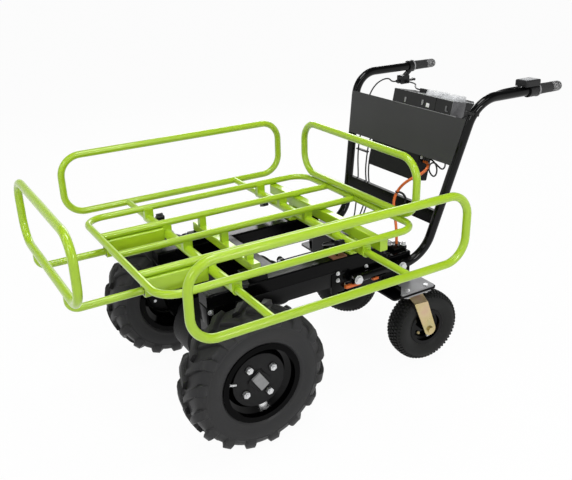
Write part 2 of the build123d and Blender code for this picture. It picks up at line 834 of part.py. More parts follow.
with BuildPart() as caster_rim:
    rim_foot = caster_rim_radius - rim_sheet / 2
    rim_floor = caster_rim_radius - caster_lip
    with BuildSketch(caster_section):
        with BuildLine():
            Polyline(
                (-caster_rim_half, caster_rim_radius + caster_lip),
                (-caster_rim_half, rim_foot),
                (-caster_rim_half / 2, rim_foot),
                (-caster_rim_half / 3, rim_floor),
                (caster_rim_half / 3, rim_floor),
                (caster_rim_half / 2, rim_foot),
                (caster_rim_half, rim_foot),
                (caster_rim_half, caster_rim_radius + caster_lip),
            )
        trace(line_width=rim_sheet)
        with BuildLine():
            Line((0, rim_floor), (0, caster_hub_radius - 1))
        trace(line_width=2 * rim_sheet)
        with Locations((0, (caster_hub_radius + caster_axle_radius + running) / 2)):
            Rectangle(2 * hub_half, caster_hub_radius - caster_axle_radius - running)
    revolve(axis=caster_wheel_axis)

with BuildPart() as caster_tyre:
    caster_half = caster_width / 2
    bead = caster_rim_half - rim_sheet / 2 - seat_gap
    bead_toe = bead - caster_wall
    rim_top = caster_rim_radius + seat_gap
    lip_top = caster_rim_radius + caster_lip + 1
    crown_edge = (caster_half - caster_wall, caster_radius - caster_wall)
    flank_bulge = (caster_half, (lip_top + caster_radius) / 2)
    with BuildSketch(caster_section):
        with BuildLine():
            Line((bead, rim_top), (bead, lip_top))
            ThreePointArc((bead, lip_top), flank_bulge, crown_edge)
            ThreePointArc(crown_edge, (0, caster_radius), flipped(crown_edge))
            ThreePointArc(flipped(crown_edge), flipped(flank_bulge), (-bead, lip_top))
            Polyline((-bead, lip_top), (-bead, rim_top), (-bead_toe, rim_top), (-bead_toe, lip_top))
            ThreePointArc((-bead_toe, lip_top), (0, caster_radius - caster_wall), (bead_toe, lip_top))
            Polyline((bead_toe, lip_top), (bead_toe, rim_top), (bead, rim_top))
        make_face()
    revolve(axis=caster_wheel_axis)

caster_places = {
    "left": Location((caster_x, caster_y, 0), (0, 0, caster_turn_left)),
    "right": Location((caster_x, -caster_y, 0), (0, 0, caster_turn_right)),
}
for side, place in caster_places.items():
    for name, piece in (
        ("caster_fork", caster_fork),
        ("caster_axle", caster_axle),
        ("caster_rim", caster_rim),
        ("caster_tyre", caster_tyre),
    ):
        with BuildPart() as placed:
            add(piece.part.moved(place))
        save(placed, f"{name}_{side}")

# Caster plates below the rear plate and a backing plate above it on each side
backing_inside = max(beam_y + rear_plate_margin, caster_y - caster_bolts_wide / 2 + 3.5 * caster_bolt_radius)
backing_outside = rear_plate_width / 2 - rear_plate_margin
backing_middle = (backing_inside + backing_outside) / 2
with BuildPart() as caster_mounts:
    for side in (-1, 1):
        add(caster_mount.part.moved(Location((caster_x, side * caster_y, 0))))
        with BuildSketch(Plane((caster_plate_x, 0, rear_box_bottom))):
            with Locations((0, side * backing_middle)):
                RectangleRounded(backing_length, backing_outside - backing_inside, 5)
            with Locations((0, side * (caster_y + caster_bolts_wide / 2))):
                with GridLocations(caster_bolts_long, 0, 2, 1):
                    Circle(caster_bolt_radius + bolt_gap, mode=Mode.SUBTRACT)
        extrude(amount=plate_thick)
save(caster_mounts, "caster_mounts")

# Load deck: tube loop, bars, cross tubes for the side rods and boxes for the front rods
loop_corners = [
    (fore(deck_front), deck_y, deck_height),
    (fore(deck_front), -deck_y, deck_height),
    (aft(deck_rear), -deck_y, deck_height),
    (aft(deck_rear), deck_y, deck_height),
]
deck_loop = round_tube(loop_corners, deck_corner, deck_tube, close=True)
save(deck_loop, "deck_loop")

bar_rows = (-bar_spacing, 0, bar_spacing)
with BuildPart() as deck_bars:
    for row in bar_rows:
        with BuildSketch(Plane((aft(deck_rear), row, deck_height), x_dir=(0, 1, 0), z_dir=(1, 0, 0))):
            Circle(deck_tube / 2)
        extrude(amount=deck_rear + deck_front)
    add(deck_loop.part, mode=Mode.SUBTRACT)
save(deck_bars, "deck_bars")

receiver_rows = (fore(front_receiver_ahead), aft(rear_receiver_behind))
rod_bore = rod_tube / 2 + running
lock_rows = (
    (fore(front_receiver_ahead), front_lock_out, -1),
    (aft(rear_receiver_behind), rear_lock_out, 1),
)
with BuildPart() as rod_receivers:
    for row in receiver_rows:
        with BuildSketch(Plane((row, -deck_y, receiver_height), x_dir=(1, 0, 0), z_dir=(0, 1, 0))):
            Circle(receiver_tube / 2)
        extrude(amount=deck_width)
        # Cradles that carry the bars and the sides of the loop
        for out in (-deck_y + deck_tube / 2, -bar_spacing, 0, bar_spacing, deck_y - deck_tube / 2):
            with Locations((row, out, (receiver_height + deck_height) / 2)):
                Box(receiver_tube, deck_tube * 0.8, deck_height - receiver_height)
    add(deck_bars.part, mode=Mode.SUBTRACT)
    add(deck_loop.part, mode=Mode.SUBTRACT)
    with Locations(Location((0, 0, deck_height + deck_tube / 4))):
        Box(4 * deck_rear, 2 * deck_width, deck_tube / 2, mode=Mode.SUBTRACT)
    for row in receiver_rows:
        with BuildSketch(Plane((row, -deck_y, receiver_height), x_dir=(1, 0, 0), z_dir=(0, 1, 0))):
            Circle(rod_bore)
        extrude(amount=deck_width, mode=Mode.SUBTRACT)
    for row, out, face in lock_rows:
        for side in (-1, 1):
            with BuildSketch(Plane((row, side * out, receiver_height), x_dir=(0, 1, 0), z_dir=(face, 0, 0))):
                Circle(lock_screw_radius + running)
            extrude(amount=receiver_tube, mode=Mode.SUBTRACT)
save(rod_receivers, "rod_receivers")

front_box_rear = fore(front_receiver_ahead) + receiver_tube / 2
front_box_front = fore(deck_front) - deck_tube / 2 - 1
front_box_middle = deck_under - front_box_height / 2
front_rod_y = front_rod_spacing / 2
rod_offset = front_rod_height - front_box_middle
with BuildPart() as front_receivers:
    for side in (-1, 1):
        box_end = (front_box_rear, side * front_rod_y, front_box_middle)
        with BuildSketch(Plane(box_end, x_dir=(0, 1, 0), z_dir=(1, 0, 0))):
            RectangleRounded(front_box_width, front_box_height, 4)
            RectangleRounded(
                front_box_width - 2 * front_box_wall,
                front_box_height - 2 * front_box_wall,
                1,
                mode=Mode.SUBTRACT,
            )
        extrude(amount=front_box_front - front_box_rear)
save(front_receivers, "front_receivers")

with BuildPart() as rod_bushes:
    for side in (-1, 1):
        for start in (front_box_rear, front_box_front - bush_length):
            bush_end = (start, side * front_rod_y, front_box_middle)
            with BuildSketch(Plane(bush_end, x_dir=(0, 1, 0), z_dir=(1, 0, 0))):
                RectangleRounded(
                    front_box_width - 2 * front_box_wall,
                    front_box_height - 2 * front_box_wall,
                    1,
                )
                with Locations((0, rod_offset)):
                    Circle(rod_bore, mode=Mode.SUBTRACT)
            extrude(amount=bush_length)
save(rod_bushes, "rod_bushes")

front_mount_bottom = beam_top + saddle_height
with BuildPart() as front_mount:
    mount_end = (aft(front_mount_behind), -front_mount_width / 2, front_mount_bottom + front_mount_size / 2)
    with BuildSketch(Plane(mount_end, x_dir=(1, 0, 0), z_dir=(0, 1, 0))):
        RectangleRounded(front_mount_size, front_mount_size, 3)
    extrude(amount=front_mount_width)
    for row in bar_rows:
        with Locations((aft(front_mount_behind), row, (front_mount_bottom + deck_height) / 2)):
            Box(front_mount_size * 0.8, deck_tube * 0.8, deck_height - front_mount_bottom - 2)
    add(deck_bars.part, mode=Mode.SUBTRACT)
    with Locations(Location((0, 0, deck_height + deck_tube / 4))):
        Box(4 * deck_rear, 2 * deck_width, deck_tube / 2, mode=Mode.SUBTRACT)
save(front_mount, "front_mount")

rear_mount_bottom = deck_under - rear_mount_height
with BuildPart() as rear_mount:
    mount_end = (aft(rear_mount_behind), -deck_y, deck_under - rear_mount_height / 2)
    with BuildSketch(Plane(mount_end, x_dir=(1, 0, 0), z_dir=(0, 1, 0))):
        RectangleRounded(rear_mount_length, rear_mount_height, 3)
    extrude(amount=deck_width)
    for side in (-1, 1):
        post_y = side * (beam_y - beam_width / 2)
        with BuildSketch(Plane((aft(rear_mount_behind), post_y, beam_top))):
            RectangleRounded(rear_mount_length, post_size, 3)
        extrude(amount=rear_mount_bottom - beam_top + 1)
        with BuildSketch(Plane((aft(rear_mount_behind), post_y, beam_top))):
            RectangleRounded(rear_mount_length + 34, post_size + 10, 5)
        extrude(amount=plate_thick)
    add(bolt_holes.part, mode=Mode.SUBTRACT)
save(rear_mount, "rear_mount")

# Load rails: rounded tube loops, the pull-out ones with two rods each
rear_rail_x = aft(deck_rear)
rear_rail_low = deck_height + deck_tube / 2 + rail_tube / 2
rear_rail = round_tube(
    [
        (rear_rail_x, rear_rail_width / 2, rear_rail_top),
        (rear_rail_x, -rear_rail_width / 2, rear_rail_top),
        (rear_rail_x, -rear_rail_width / 2, rear_rail_low),
        (rear_rail_x, rear_rail_width / 2, rear_rail_low),
    ],
    rail_corner,
    rail_tube,
    close=True,
)
save(rear_rail, "rear_rail")

side_loop = round_tube(
    [
        (fore(side_rail_front), side_rail_out, side_rail_top),
        (aft(side_rail_rear), side_rail_out, side_rail_top),
        (aft(side_rail_rear), side_rail_out, receiver_height),
        (fore(side_rail_front), side_rail_out, receiver_height),
    ],
    rail_corner,
    rail_tube,
    close=True,
)
with BuildPart() as side_rail:
    add(side_loop.part)
    for row in receiver_rows:
        rod_end = (row, deck_y - side_rod_grip, receiver_height)
        with BuildSketch(Plane(rod_end, x_dir=(1, 0, 0), z_dir=(0, 1, 0))):
            Circle(rod_tube / 2)
        extrude(amount=side_rail_out - deck_y + side_rod_grip)
save(side_rail, "rail_left")
with BuildPart() as other_side_rail:
    mirror(side_rail.part, about=Plane.XZ)
save(other_side_rail, "rail_right")

front_rail_x = fore(front_rail_ahead)
front_loop = round_tube(
    [
        (front_rail_x, front_rail_width / 2, front_rail_top),
        (front_rail_x, -front_rail_width / 2, front_rail_top),
        (front_rail_x, -front_rail_width / 2, deck_height),
        (front_rail_x, front_rail_width / 2, deck_height),
    ],
    rail_corner,
    rail_tube,
    close=True,
)
with BuildPart() as front_rail:
    add(front_loop.part)
    for side in (-1, 1):
        rod = round_tube(
            [
                (front_rail_x, side * front_rod_y, deck_height),
                (front_rail_x, side * front_rod_y, front_rod_height),
                (front_box_front - front_rod_grip, side * front_rod_y, front_rod_height),
            ],
            front_rod_bend,
            rod_tube,
        )
        add(rod.part)
save(front_rail, "rail_front")

# Lock knobs: a screw through the receiver's wall with a lobed head
for end, (row, out, face) in zip(("front", "rear"), lock_rows):
    with BuildPart() as lock_knob:
        reach = rod_tube / 2 + seat_gap
        screw_end = (row + face * reach, out, receiver_height)
        with BuildSketch(Plane(screw_end, x_dir=(0, 1, 0), z_dir=(face, 0, 0))):
            Circle(lock_screw_radius)
        extrude(amount=receiver_tube / 2 - reach + 8)
        head_place = (row + face * (receiver_tube / 2 + 6), out, receiver_height)
        head = Plane(head_place, x_dir=(0, 1, 0), z_dir=(face, 0, 0))
        with BuildSketch(head):
            Circle(lock_knob_radius * 0.8)
            with PolarLocations(lock_knob_radius * 0.74, 5):
                Circle(lock_knob_radius * 0.34)
        extrude(amount=lock_knob_length)
    save_pair(lock_knob, f"lock_knob_{end}")

# Handle: two bent tubes that lie against the chassis and rise to the grips
grip_start = grip_reach - grip_length
upright_plane = Plane(
    (aft(handle_heel), 0, handle_low_z),
    x_dir=(0, 1, 0),
    z_dir=(cos(radians(handle_lean)), 0, sin(radians(handle_lean))),
)


def upright_y(up):
    """Distance of the upright's axis from the middle, so far up along its lean."""
    return handle_low_y + up * cos(radians(handle_lean)) * handle_splay


handle_points = [
    (aft(handle_low_front), handle_low_y, handle_low_z),
    (aft(handle_heel), handle_low_y, handle_low_z),
    (aft(handle_top_x), handle_top_y, handle_top_z),
    (aft(grip_start), handle_top_y, handle_top_z),
]
handle_bends = [handle_low_bend, handle_top_bend]
handle_core = round_tube(handle_points, handle_bends, handle_tube)
handle_bar = round_tube(handle_points, handle_bends, handle_tube, handle_tube - 2 * handle_wall)
with BuildPart() as handle:
    add(handle_bar.part)
    # Swaged end that carries the grip
    swage_place = (aft(grip_start - 6), handle_top_y, handle_top_z)
    with BuildSketch(Plane(swage_place, x_dir=(0, 1, 0), z_dir=(-1, 0, 0))):
        Circle(handle_tube / 2)
    extrude(amount=6)
    with BuildSketch(Plane((aft(grip_start), handle_top_y, handle_top_z), x_dir=(0, 1, 0), z_dir=(-1, 0, 0))):
        Circle(grip_bar / 2)
    extrude(amount=grip_length - grip_end)
    add(bolt_holes.part, mode=Mode.SUBTRACT)
save_pair(handle, "handle")

with BuildPart() as cross_bar:
    with BuildSketch(upright_plane.offset(-cross_bar_depth / 2)):
        with Locations((0, cross_bar_up)):
            Rectangle(2 * upright_y(cross_bar_up), cross_bar_height)
    extrude(amount=cross_bar_depth)
    add(handle_core.part, mode=Mode.SUBTRACT)
    add(handle_core.part.mirror(Plane.XZ), mode=Mode.SUBTRACT)
save(cross_bar, "cross_bar")

with BuildPart() as panel:
    with BuildSketch(upright_plane.offset(handle_tube / 2)):
        with BuildLine():
            Polyline(
                (-upright_y(panel_low), panel_low),
                (upright_y(panel_low), panel_low),
                (upright_y(panel_high), panel_high),
                (-upright_y(panel_high), panel_high),
                close=True,
            )
        make_face()
    extrude(amount=panel_thick)
save(panel, "panel")

# Grips: rubber sleeves over the swaged ends, the left one turns as the throttle
def grip_sleeve(side, bore_radius, end_gap):
    """Ridged sleeve that closes over the end of the bar."""
    with BuildPart() as sleeve:
        place = Plane(
            (aft(grip_start + end_gap), side * handle_top_y, handle_top_z),
            x_dir=(-1, 0, 0),
            z_dir=(0, 1, 0),
        )
        sleeve_length = grip_length - end_gap
        bar_length = grip_length - grip_end
        with BuildSketch(place):
            with BuildLine():
                Polyline(
                    (0, bore_radius),
                    (0, grip_radius + grip_flange),
                    (grip_end, grip_radius + grip_flange),
                    (grip_end, grip_radius),
                    (sleeve_length - grip_end, grip_radius - grip_taper),
                    (sleeve_length, grip_radius - grip_taper - 2),
                    (sleeve_length, 0),
                    (bar_length, 0),
                    (bar_length, bore_radius),
                    close=True,
                )
            make_face()
        revolve(axis=Axis((0, side * handle_top_y, handle_top_z), (1, 0, 0)))
    return sleeve


save(grip_sleeve(-1, grip_bar / 2, 0), "grip_right")
save(grip_sleeve(1, grip_bar / 2 + running, seat_gap), "throttle_grip")

with BuildPart() as throttle_housing:
    clamp_place = Plane(
        (aft(grip_start - 1), handle_top_y, handle_top_z),
        x_dir=(0, 1, 0),
        z_dir=(1, 0, 0),
    )
    with BuildSketch(clamp_place):
        Circle(handle_tube / 2 + clamp_wall)
    extrude(amount=clamp_length)
    with BuildSketch(
        Plane((aft(grip_start - clamp_length), handle_top_y, handle_top_z + handle_tube / 2 + clamp_wall / 2))
    ):
        RectangleRounded(display_length, display_width, 6)
    extrude(amount=display_height)
    fillet(throttle_housing.edges().group_by(Axis.Z)[-1], 3)
    with BuildSketch(
        Plane(
            (
                aft(grip_start - clamp_length),
                handle_top_y,
                handle_top_z + handle_tube / 2 + clamp_wall / 2 + display_height,
            )
        )
    ):
        RectangleRounded(display_length - 16, display_width - 14, 3)
    extrude(amount=-1, mode=Mode.SUBTRACT)
    with BuildSketch(clamp_place):
        Circle(handle_tube / 2)
    extrude(amount=2 * clamp_length, both=True, mode=Mode.SUBTRACT)
save(throttle_housing, "throttle_housing")

# Brake lever in a block that hangs from a clamp in front of the right grip
lever_x = aft(lever_behind)
lever_z = handle_top_z - lever_below
perch_outside = handle_tube / 2 + clamp_wall
cheek_gap = lever_width / 2 + seat_gap
block_half = cheek_gap + cheek_thick
block_side = Plane((lever_x, -handle_top_y - block_half, lever_z), x_dir=(-1, 0, 0), z_dir=(0, 1, 0))
perch_ring = Plane((aft(perch_behind), -handle_top_y, handle_top_z), x_dir=(0, 1, 0), z_dir=(1, 0, 0))
web_middle = (perch_block_height - perch_web) / 2
bridge_x = lever_x + perch_block_length / 2 - perch_bridge
switch_back = perch_block_length / 5
switch_drop = perch_block_height / 4
with BuildPart() as brake_perch:
    with BuildSketch(perch_ring):
        Circle(perch_outside)
    extrude(amount=perch_length / 2, both=True)
    # Stem from the clamp to the block
    with BuildSketch(block_side.offset(block_half)):
        with Locations((perch_behind - lever_behind, lever_below - perch_outside + clamp_wall / 2)):
            Rectangle(perch_length - 4, clamp_wall)
        with Locations((switch_back, web_middle)):
            Rectangle(perch_stem, perch_web)
        make_hull()
    extrude(amount=perch_stem / 2, both=True)
    # Block: two cheeks, a web over the lever and a bridge in front of it
    for start in (0, 2 * block_half - cheek_thick):
        with BuildSketch(block_side.offset(start)):
            RectangleRounded(perch_block_length, perch_block_height, 4)
        extrude(amount=cheek_thick)
    with BuildSketch(block_side.offset(cheek_thick)):
        with Locations((0, web_middle)):
            Rectangle(perch_block_length - 8, perch_web)
        with Locations(((perch_bridge - perch_block_length) / 2, 0)):
            Rectangle(perch_bridge, perch_block_height - 8)
    extrude(amount=2 * cheek_gap)
    with BuildSketch(block_side):
        Circle(lever_pin)
    extrude(amount=2 * block_half)
    # Cable barrel in front and the entry of the brake switch on the inner cheek
    barrel_place = Plane((bridge_x, -handle_top_y, lever_z - barrel_drop), x_dir=(0, 1, 0), z_dir=(1, 0, 0))
    with BuildSketch(barrel_place):
        Circle(barrel_radius)
    extrude(amount=barrel_length)
    with BuildSketch(block_side.offset(2 * block_half)):
        with Locations((switch_back, -switch_drop)):
            Circle(gland_radius)
    extrude(amount=gland_length)
    with BuildSketch(perch_ring):
        Circle(handle_tube / 2)
    extrude(amount=perch_length, both=True, mode=Mode.SUBTRACT)
save(brake_perch, "brake_perch")

with BuildPart() as brake_lever:
    with BuildSketch(block_side.offset(block_half - lever_width / 2)):
        with BuildLine():
            Spline((0, 0), (lever_length * 0.5, -lever_tip_drop), (lever_length, -lever_tip_drop))
        trace(line_width=lever_thick)
        Circle(lever_eye)
        with Locations((lever_length, -lever_tip_drop)):
            Circle(lever_thick * 0.75)
        Circle(lever_pin + running, mode=Mode.SUBTRACT)
    extrude(amount=lever_width)
save(brake_lever, "brake_lever")

# Battery box behind the panel, with a hinged clear cover over its open top
panel_back = upright_plane.offset(handle_tube / 2)
lean_up = (-sin(radians(handle_lean)), 0, cos(radians(handle_lean)))


def level_plane(up):
    """Plane across the lean, so far up it: Y to the left, then to the back."""
    return Plane(upright_plane.from_local_coords((0, up, 0)), x_dir=(0, 1, 0), z_dir=lean_up)


box_front = -handle_tube / 2
box_back = battery_box_depth - handle_tube / 2
box_width = battery_box_left + battery_box_right
box_middle_y = (battery_box_left - battery_box_right) / 2
box_middle_v = (box_front + box_back) / 2
cover_span = battery_box_left - cover_start
cell_width = cover_span - 2 * battery_box_wall
cell_middle = (battery_box_left + cover_start) / 2
cell_depth = battery_box_depth - 2 * battery_box_wall
hinge_up = battery_box_high + seat_gap + cover_wall / 2
hinge_back = box_back + hinge_radius + 1
hinge_place = upright_plane.from_local_coords((0, hinge_up, -hinge_back))
hinge_section = Plane(hinge_place, x_dir=upright_plane.z_dir, z_dir=(0, -1, 0))

with BuildPart() as battery_box:
    with BuildSketch(level_plane(battery_box_low)):
        with Locations((box_middle_y, box_middle_v)):
            RectangleRounded(box_width, battery_box_depth, 6)
    extrude(amount=battery_box_high - battery_box_low)
    with BuildSketch(level_plane(battery_box_high)):
        with Locations((cell_middle, box_middle_v)):
            RectangleRounded(cell_width, cell_depth, 4)
    extrude(amount=battery_box_low + battery_box_wall - battery_box_high, mode=Mode.SUBTRACT)
    # Hinge knuckles and pin along the back of the open top
    for start in (cell_middle - hinge_span / 2, cell_middle + hinge_span / 2 - hinge_knuckle):
        with BuildSketch(hinge_section.offset(-start)):
            Circle(hinge_radius)
            with Locations((hinge_radius + 1.5, -hinge_radius - 4)):
                Rectangle(1, hinge_radius + 4)
            make_hull()
        extrude(amount=-hinge_knuckle)
    with BuildSketch(hinge_section.offset(-cell_middle + hinge_span / 2)):
        Circle(hinge_pin)
    extrude(amount=-hinge_span)
    # Connector block on the closed part of the top, and a cable entry on the left end
    with BuildSketch(level_plane(battery_box_high)):
        with Locations((connector_out, connector_back)):
            RectangleRounded(connector_width, connector_depth, 2)
    extrude(amount=connector_height)
    with BuildSketch(level_plane(entry_up)):
        with Locations((battery_box_left + entry_radius - 1, entry_back)):
            Circle(entry_radius)
    extrude(amount=-22)
save(battery_box, "battery_box")

with BuildPart() as battery_packs:
    pack_width = (cell_width - 3 * battery_gap) / 2
    with BuildSketch(level_plane(battery_box_low + battery_box_wall)):
        with Locations((cell_middle, box_middle_v)):
            with GridLocations(pack_width + battery_gap, 0, 2, 1):
                RectangleRounded(pack_width, cell_depth - 2 * battery_gap, 3)
    extrude(amount=battery_box_high - battery_box_low - battery_box_wall - battery_headroom)
save(battery_packs, "battery_packs")

with BuildPart() as battery_cover:
    cover_low = battery_box_high + seat_gap
    dome_width = (cover_span - 3 * dome_margin) / 2
    dome_depth = battery_box_depth - 2 * dome_margin
    with BuildSketch(level_plane(cover_low)):
        with Locations((cell_middle, box_middle_v)):
            RectangleRounded(cover_span, battery_box_depth, 6)
    extrude(amount=cover_wall)
    with BuildSketch(level_plane(cover_low)):
        with Locations((cell_middle, box_middle_v)):
            with GridLocations(dome_width + dome_margin, 0, 2, 1):
                RectangleRounded(dome_width, dome_depth, 14)
    extrude(amount=cover_height, taper=12)
    with BuildSketch(level_plane(cover_low)):
        with Locations((cell_middle, box_middle_v)):
            with GridLocations(dome_width + dome_margin, 0, 2, 1):
                RectangleRounded(dome_width - 2 * cover_wall, dome_depth - 2 * cover_wall, 12)
    extrude(amount=cover_height - cover_wall, taper=12, mode=Mode.SUBTRACT)
    # Middle knuckle between the two of the box
    knuckle_start = cell_middle - hinge_span / 2 + hinge_knuckle + seat_gap
    with BuildSketch(hinge_section.offset(-knuckle_start)):
        Circle(hinge_radius)
        with Locations((hinge_radius / 2 + 1.5, 0)):
            Rectangle(hinge_radius + 3, cover_wall)
        Circle(hinge_pin + running, mode=Mode.SUBTRACT)
    extrude(amount=2 * hinge_knuckle + 2 * seat_gap - hinge_span)
save(battery_cover, "battery_cover")

# Motor controller below the battery box, with cooling ribs on its back
with BuildPart() as controller_box:
    controller_width = controller_left + controller_right
    controller_tall = controller_high - controller_low
    controller_middle = (
        (controller_left - controller_right) / 2,
        (controller_high + controller_low) / 2,
    )
    with BuildSketch(panel_back):
        with Locations(controller_middle):
            RectangleRounded(controller_width, controller_tall, 6)
    extrude(amount=-controller_depth)
    with BuildSketch(panel_back.offset(-controller_depth)):
        with Locations(controller_middle):
            with GridLocations((controller_width - 24) / (controller_ribs - 1), 0, controller_ribs, 1):
                Rectangle(3, controller_tall - 16)
    extrude(amount=-controller_rib_depth)
save(controller_box, "controller_box")

# Bolts: hexagon heads with shanks in clearance holes
with BuildPart() as frame_bolts:
    for plane, size, grip in bolt_places:
        with BuildSketch(plane):
            RegularPolygon(size * 0.85, 6, major_radius=False)
        extrude(amount=size * 0.65)
        with BuildSketch(plane):
            Circle(size / 2)
        extrude(amount=-grip)
    # Nuts under the caster plates
    for side in (-1, 1):
        under = Plane((caster_plate_x, side * caster_y, mount_bottom), x_dir=(1, 0, 0), z_dir=(0, 0, -1))
        with BuildSketch(under):
            with GridLocations(caster_bolts_long, caster_bolts_wide, 2, 2):
                RegularPolygon(caster_bolt_radius * 1.6, 6, major_radius=False)
                Circle(caster_bolt_radius, mode=Mode.SUBTRACT)
        extrude(amount=4)
save(frame_bolts, "frame_bolts")

# Cables, each along its own route
def along(*points):
    """Route points given as distance behind the axle, then Y and Z."""
    return [(aft(behind), out, height) for behind, out, height in points]


def entry_point(out, back, up):
    """Route point at an entry on one of the housings behind the panel."""
    return tuple(upright_plane.from_local_coords((out, up, -back)))


barrel_end = (bridge_x + barrel_length, -handle_top_y, lever_z - barrel_drop)
brake_route = [barrel_end, (barrel_end[0] + 20, -handle_top_y, barrel_end[2])] + along(
    (894, -275, 800),
    (860, -266, 803),
    (815, -250, 794),
    (772, -230, 768),
    (744, -212, 718),
    (726, -209, 660),
    (718, -216, 604),
    (720, -222, 546),
    (722, -220, 490),
    (712, -210, 438),
    (692, -192, 393),
)
rear_entry = (rear_gland_x, -rear_gland_rows[0], rear_gland_z)
brake_route += [(rear_gland_x - 34, -rear_gland_rows[0], rear_gland_z), rear_entry]
chassis_route = [
    (aft(beam_rear) + gland_length, front_gland_y, front_gland_z),
    (aft(beam_rear) + gland_length + 26, front_gland_y, front_gland_z),
]
chassis_route += along(
    (446, -42, 352),
    (430, -12, 364),
    (421, 24, 381),
    (416, 62, 398),
    (408, 96, 412),
)
chassis_route.append((stop_x - cable_stop_length - 30, wire_y, brake_tip_z))
chassis_route.append((stop_x - cable_stop_length, wire_y, brake_tip_z))

with BuildPart() as brake_cable:
    add(lead(brake_route, cable_diameter).part)
    add(lead(chassis_route, cable_diameter).part)
    # Inner wire from the cable stop through the eye of the brake arm, with its nut
    wire_front = brake_tip_x + wire_eye_length / 2 + seat_gap
    with BuildSketch(Plane((stop_x, wire_y, brake_tip_z), x_dir=(0, 1, 0), z_dir=(1, 0, 0))):
        Circle(1.2)
    extrude(amount=wire_front - stop_x + 8)
    with BuildSketch(Plane((wire_front, wire_y, brake_tip_z), x_dir=(0, 1, 0), z_dir=(1, 0, 0))):
        Circle(wire_hole_radius + 2)
    extrude(amount=8)
save(brake_cable, "brake_cable")

display_front = aft(grip_start - clamp_length) + display_length / 2
throttle_route = [
    (display_front, handle_top_y, lead_on_tube),
    (display_front + 36, handle_top_y, lead_on_tube),
]
throttle_route += along(
    (856, 270, 851),
    (823, 257, 843),
    (800, 249, 820),
    (784, 242, 790),
)
entry_out = battery_box_left + entry_radius - 1
throttle_route.append(entry_point(entry_out, entry_back, entry_up + 22))
throttle_route.append(entry_point(entry_out, entry_back, entry_up))
switch_start = (lever_x - switch_back, block_half + gland_length - handle_top_y, lever_z - switch_drop)
switch_route = [switch_start, (switch_start[0], switch_start[1] + 22, switch_start[2])] + along(
    (950, -198, 784),
    (904, -148, 791),
    (855, -92, 803),
    (812, -44, 815),
)
connector_end = connector_out - connector_width / 2
connector_plug_up = battery_box_high + connector_height * 0.6
switch_route.append(entry_point(connector_end - 22, connector_back, connector_plug_up))
switch_route.append(entry_point(connector_end, connector_back, connector_plug_up))
loop_route = [
    entry_point(controller_left, loop_back, loop_up),
    entry_point(controller_left + 18, loop_back, loop_up),
]
loop_route += along(
    (731, 149, 626),
    (732, 162, 611),
    (734, 161, 590),
    (736, 148, 575),
    (739, 130, 577),
    (743, 114, 590),
    (746, 116, 608),
    (747, 134, 617),
    (746, 154, 616),
    (743, 174, 613),
    (737, 195, 614),
)
# The last run meets the left upright square to its side
loop_axis = upright_plane.from_local_coords((upright_y(loop_end_up), loop_end_up, 0))
splay_angle = atan2(upright_y(1) - upright_y(0), 1)
loop_out = upright_plane.x_dir * cos(splay_angle) - upright_plane.y_dir * sin(splay_angle)
loop_route.append(tuple(loop_axis - loop_out * (handle_tube / 2 + 24)))
loop_route.append(tuple(loop_axis - loop_out * (handle_tube / 2 + seat_gap)))

with BuildPart() as control_leads:
    add(lead(throttle_route, lead_diameter).part)
    add(lead(switch_route, lead_diameter).part)
    add(lead(loop_route, lead_diameter).part)
    for up_at, gland in zip(lead_rows, rear_gland_rows[1:]):
        signal_route = [
            entry_point(-controller_right, lead_back, up_at),
            entry_point(-controller_right - 16, lead_back, up_at),
        ]
        signal_route += along(
            (732, -gland - 17, up_at + 318),
            (728, -gland - 22, up_at + 296),
            (719, -gland - 21, 566),
            (711, -gland - 16, 516),
            (712, -gland - 8, 468),
            (714, -gland - 14, 430),
            (700, -gland - 11, 390),
        )
        signal_route.append((rear_gland_x - 34, -gland, rear_gland_z))
        signal_route.append((rear_gland_x, -gland, rear_gland_z))
        add(lead(signal_route, lead_diameter).part)
save(control_leads, "control_leads")

motor_route = [
    entry_point(controller_left, supply_back, supply_up),
    entry_point(controller_left + 18, supply_back, supply_up),
]
motor_route += along(
    (710, 148, 612),
    (686, 150, 596),
    (662, 125, 577),
    (656, 93, 550),
    (650, 73, 519),
    (641, 71, 487),
    (628, 97, 456),
)
motor_route.append((motor_gland_x, motor_gland_y, rear_box_top + gland_length + 34))
motor_route.append((motor_gland_x, motor_gland_y, rear_box_top + gland_length))
motor_lead = lead(motor_route, motor_lead_diameter)
save(motor_lead, "motor_lead")

for name, route in (
    ("brake", brake_route),
    ("chassis", chassis_route),
    ("throttle", throttle_route),
    ("switch", switch_route),
    ("loop", loop_route),
    ("signal", signal_route),
    ("motor", motor_route),
):
    print(name, "bends", [round(radius) for radius in easy_bends(route)])
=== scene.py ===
# %% [markdown]
# # A flat-bed electric cart
# The cart has a lime green tube deck with pull-out rails, a black chassis with two driven
# lug tyres and two casters, and a push handle that carries the battery and the controls.
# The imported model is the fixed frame: every size is in metres and every node is in its place.
# This lesson adds the cables, the tyres, the finishes and the small things a maker would miss.

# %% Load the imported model
import json
from math import atan2, cos, pi, radians, sin

import bmesh
import bpy
from mathutils import Matrix, Vector

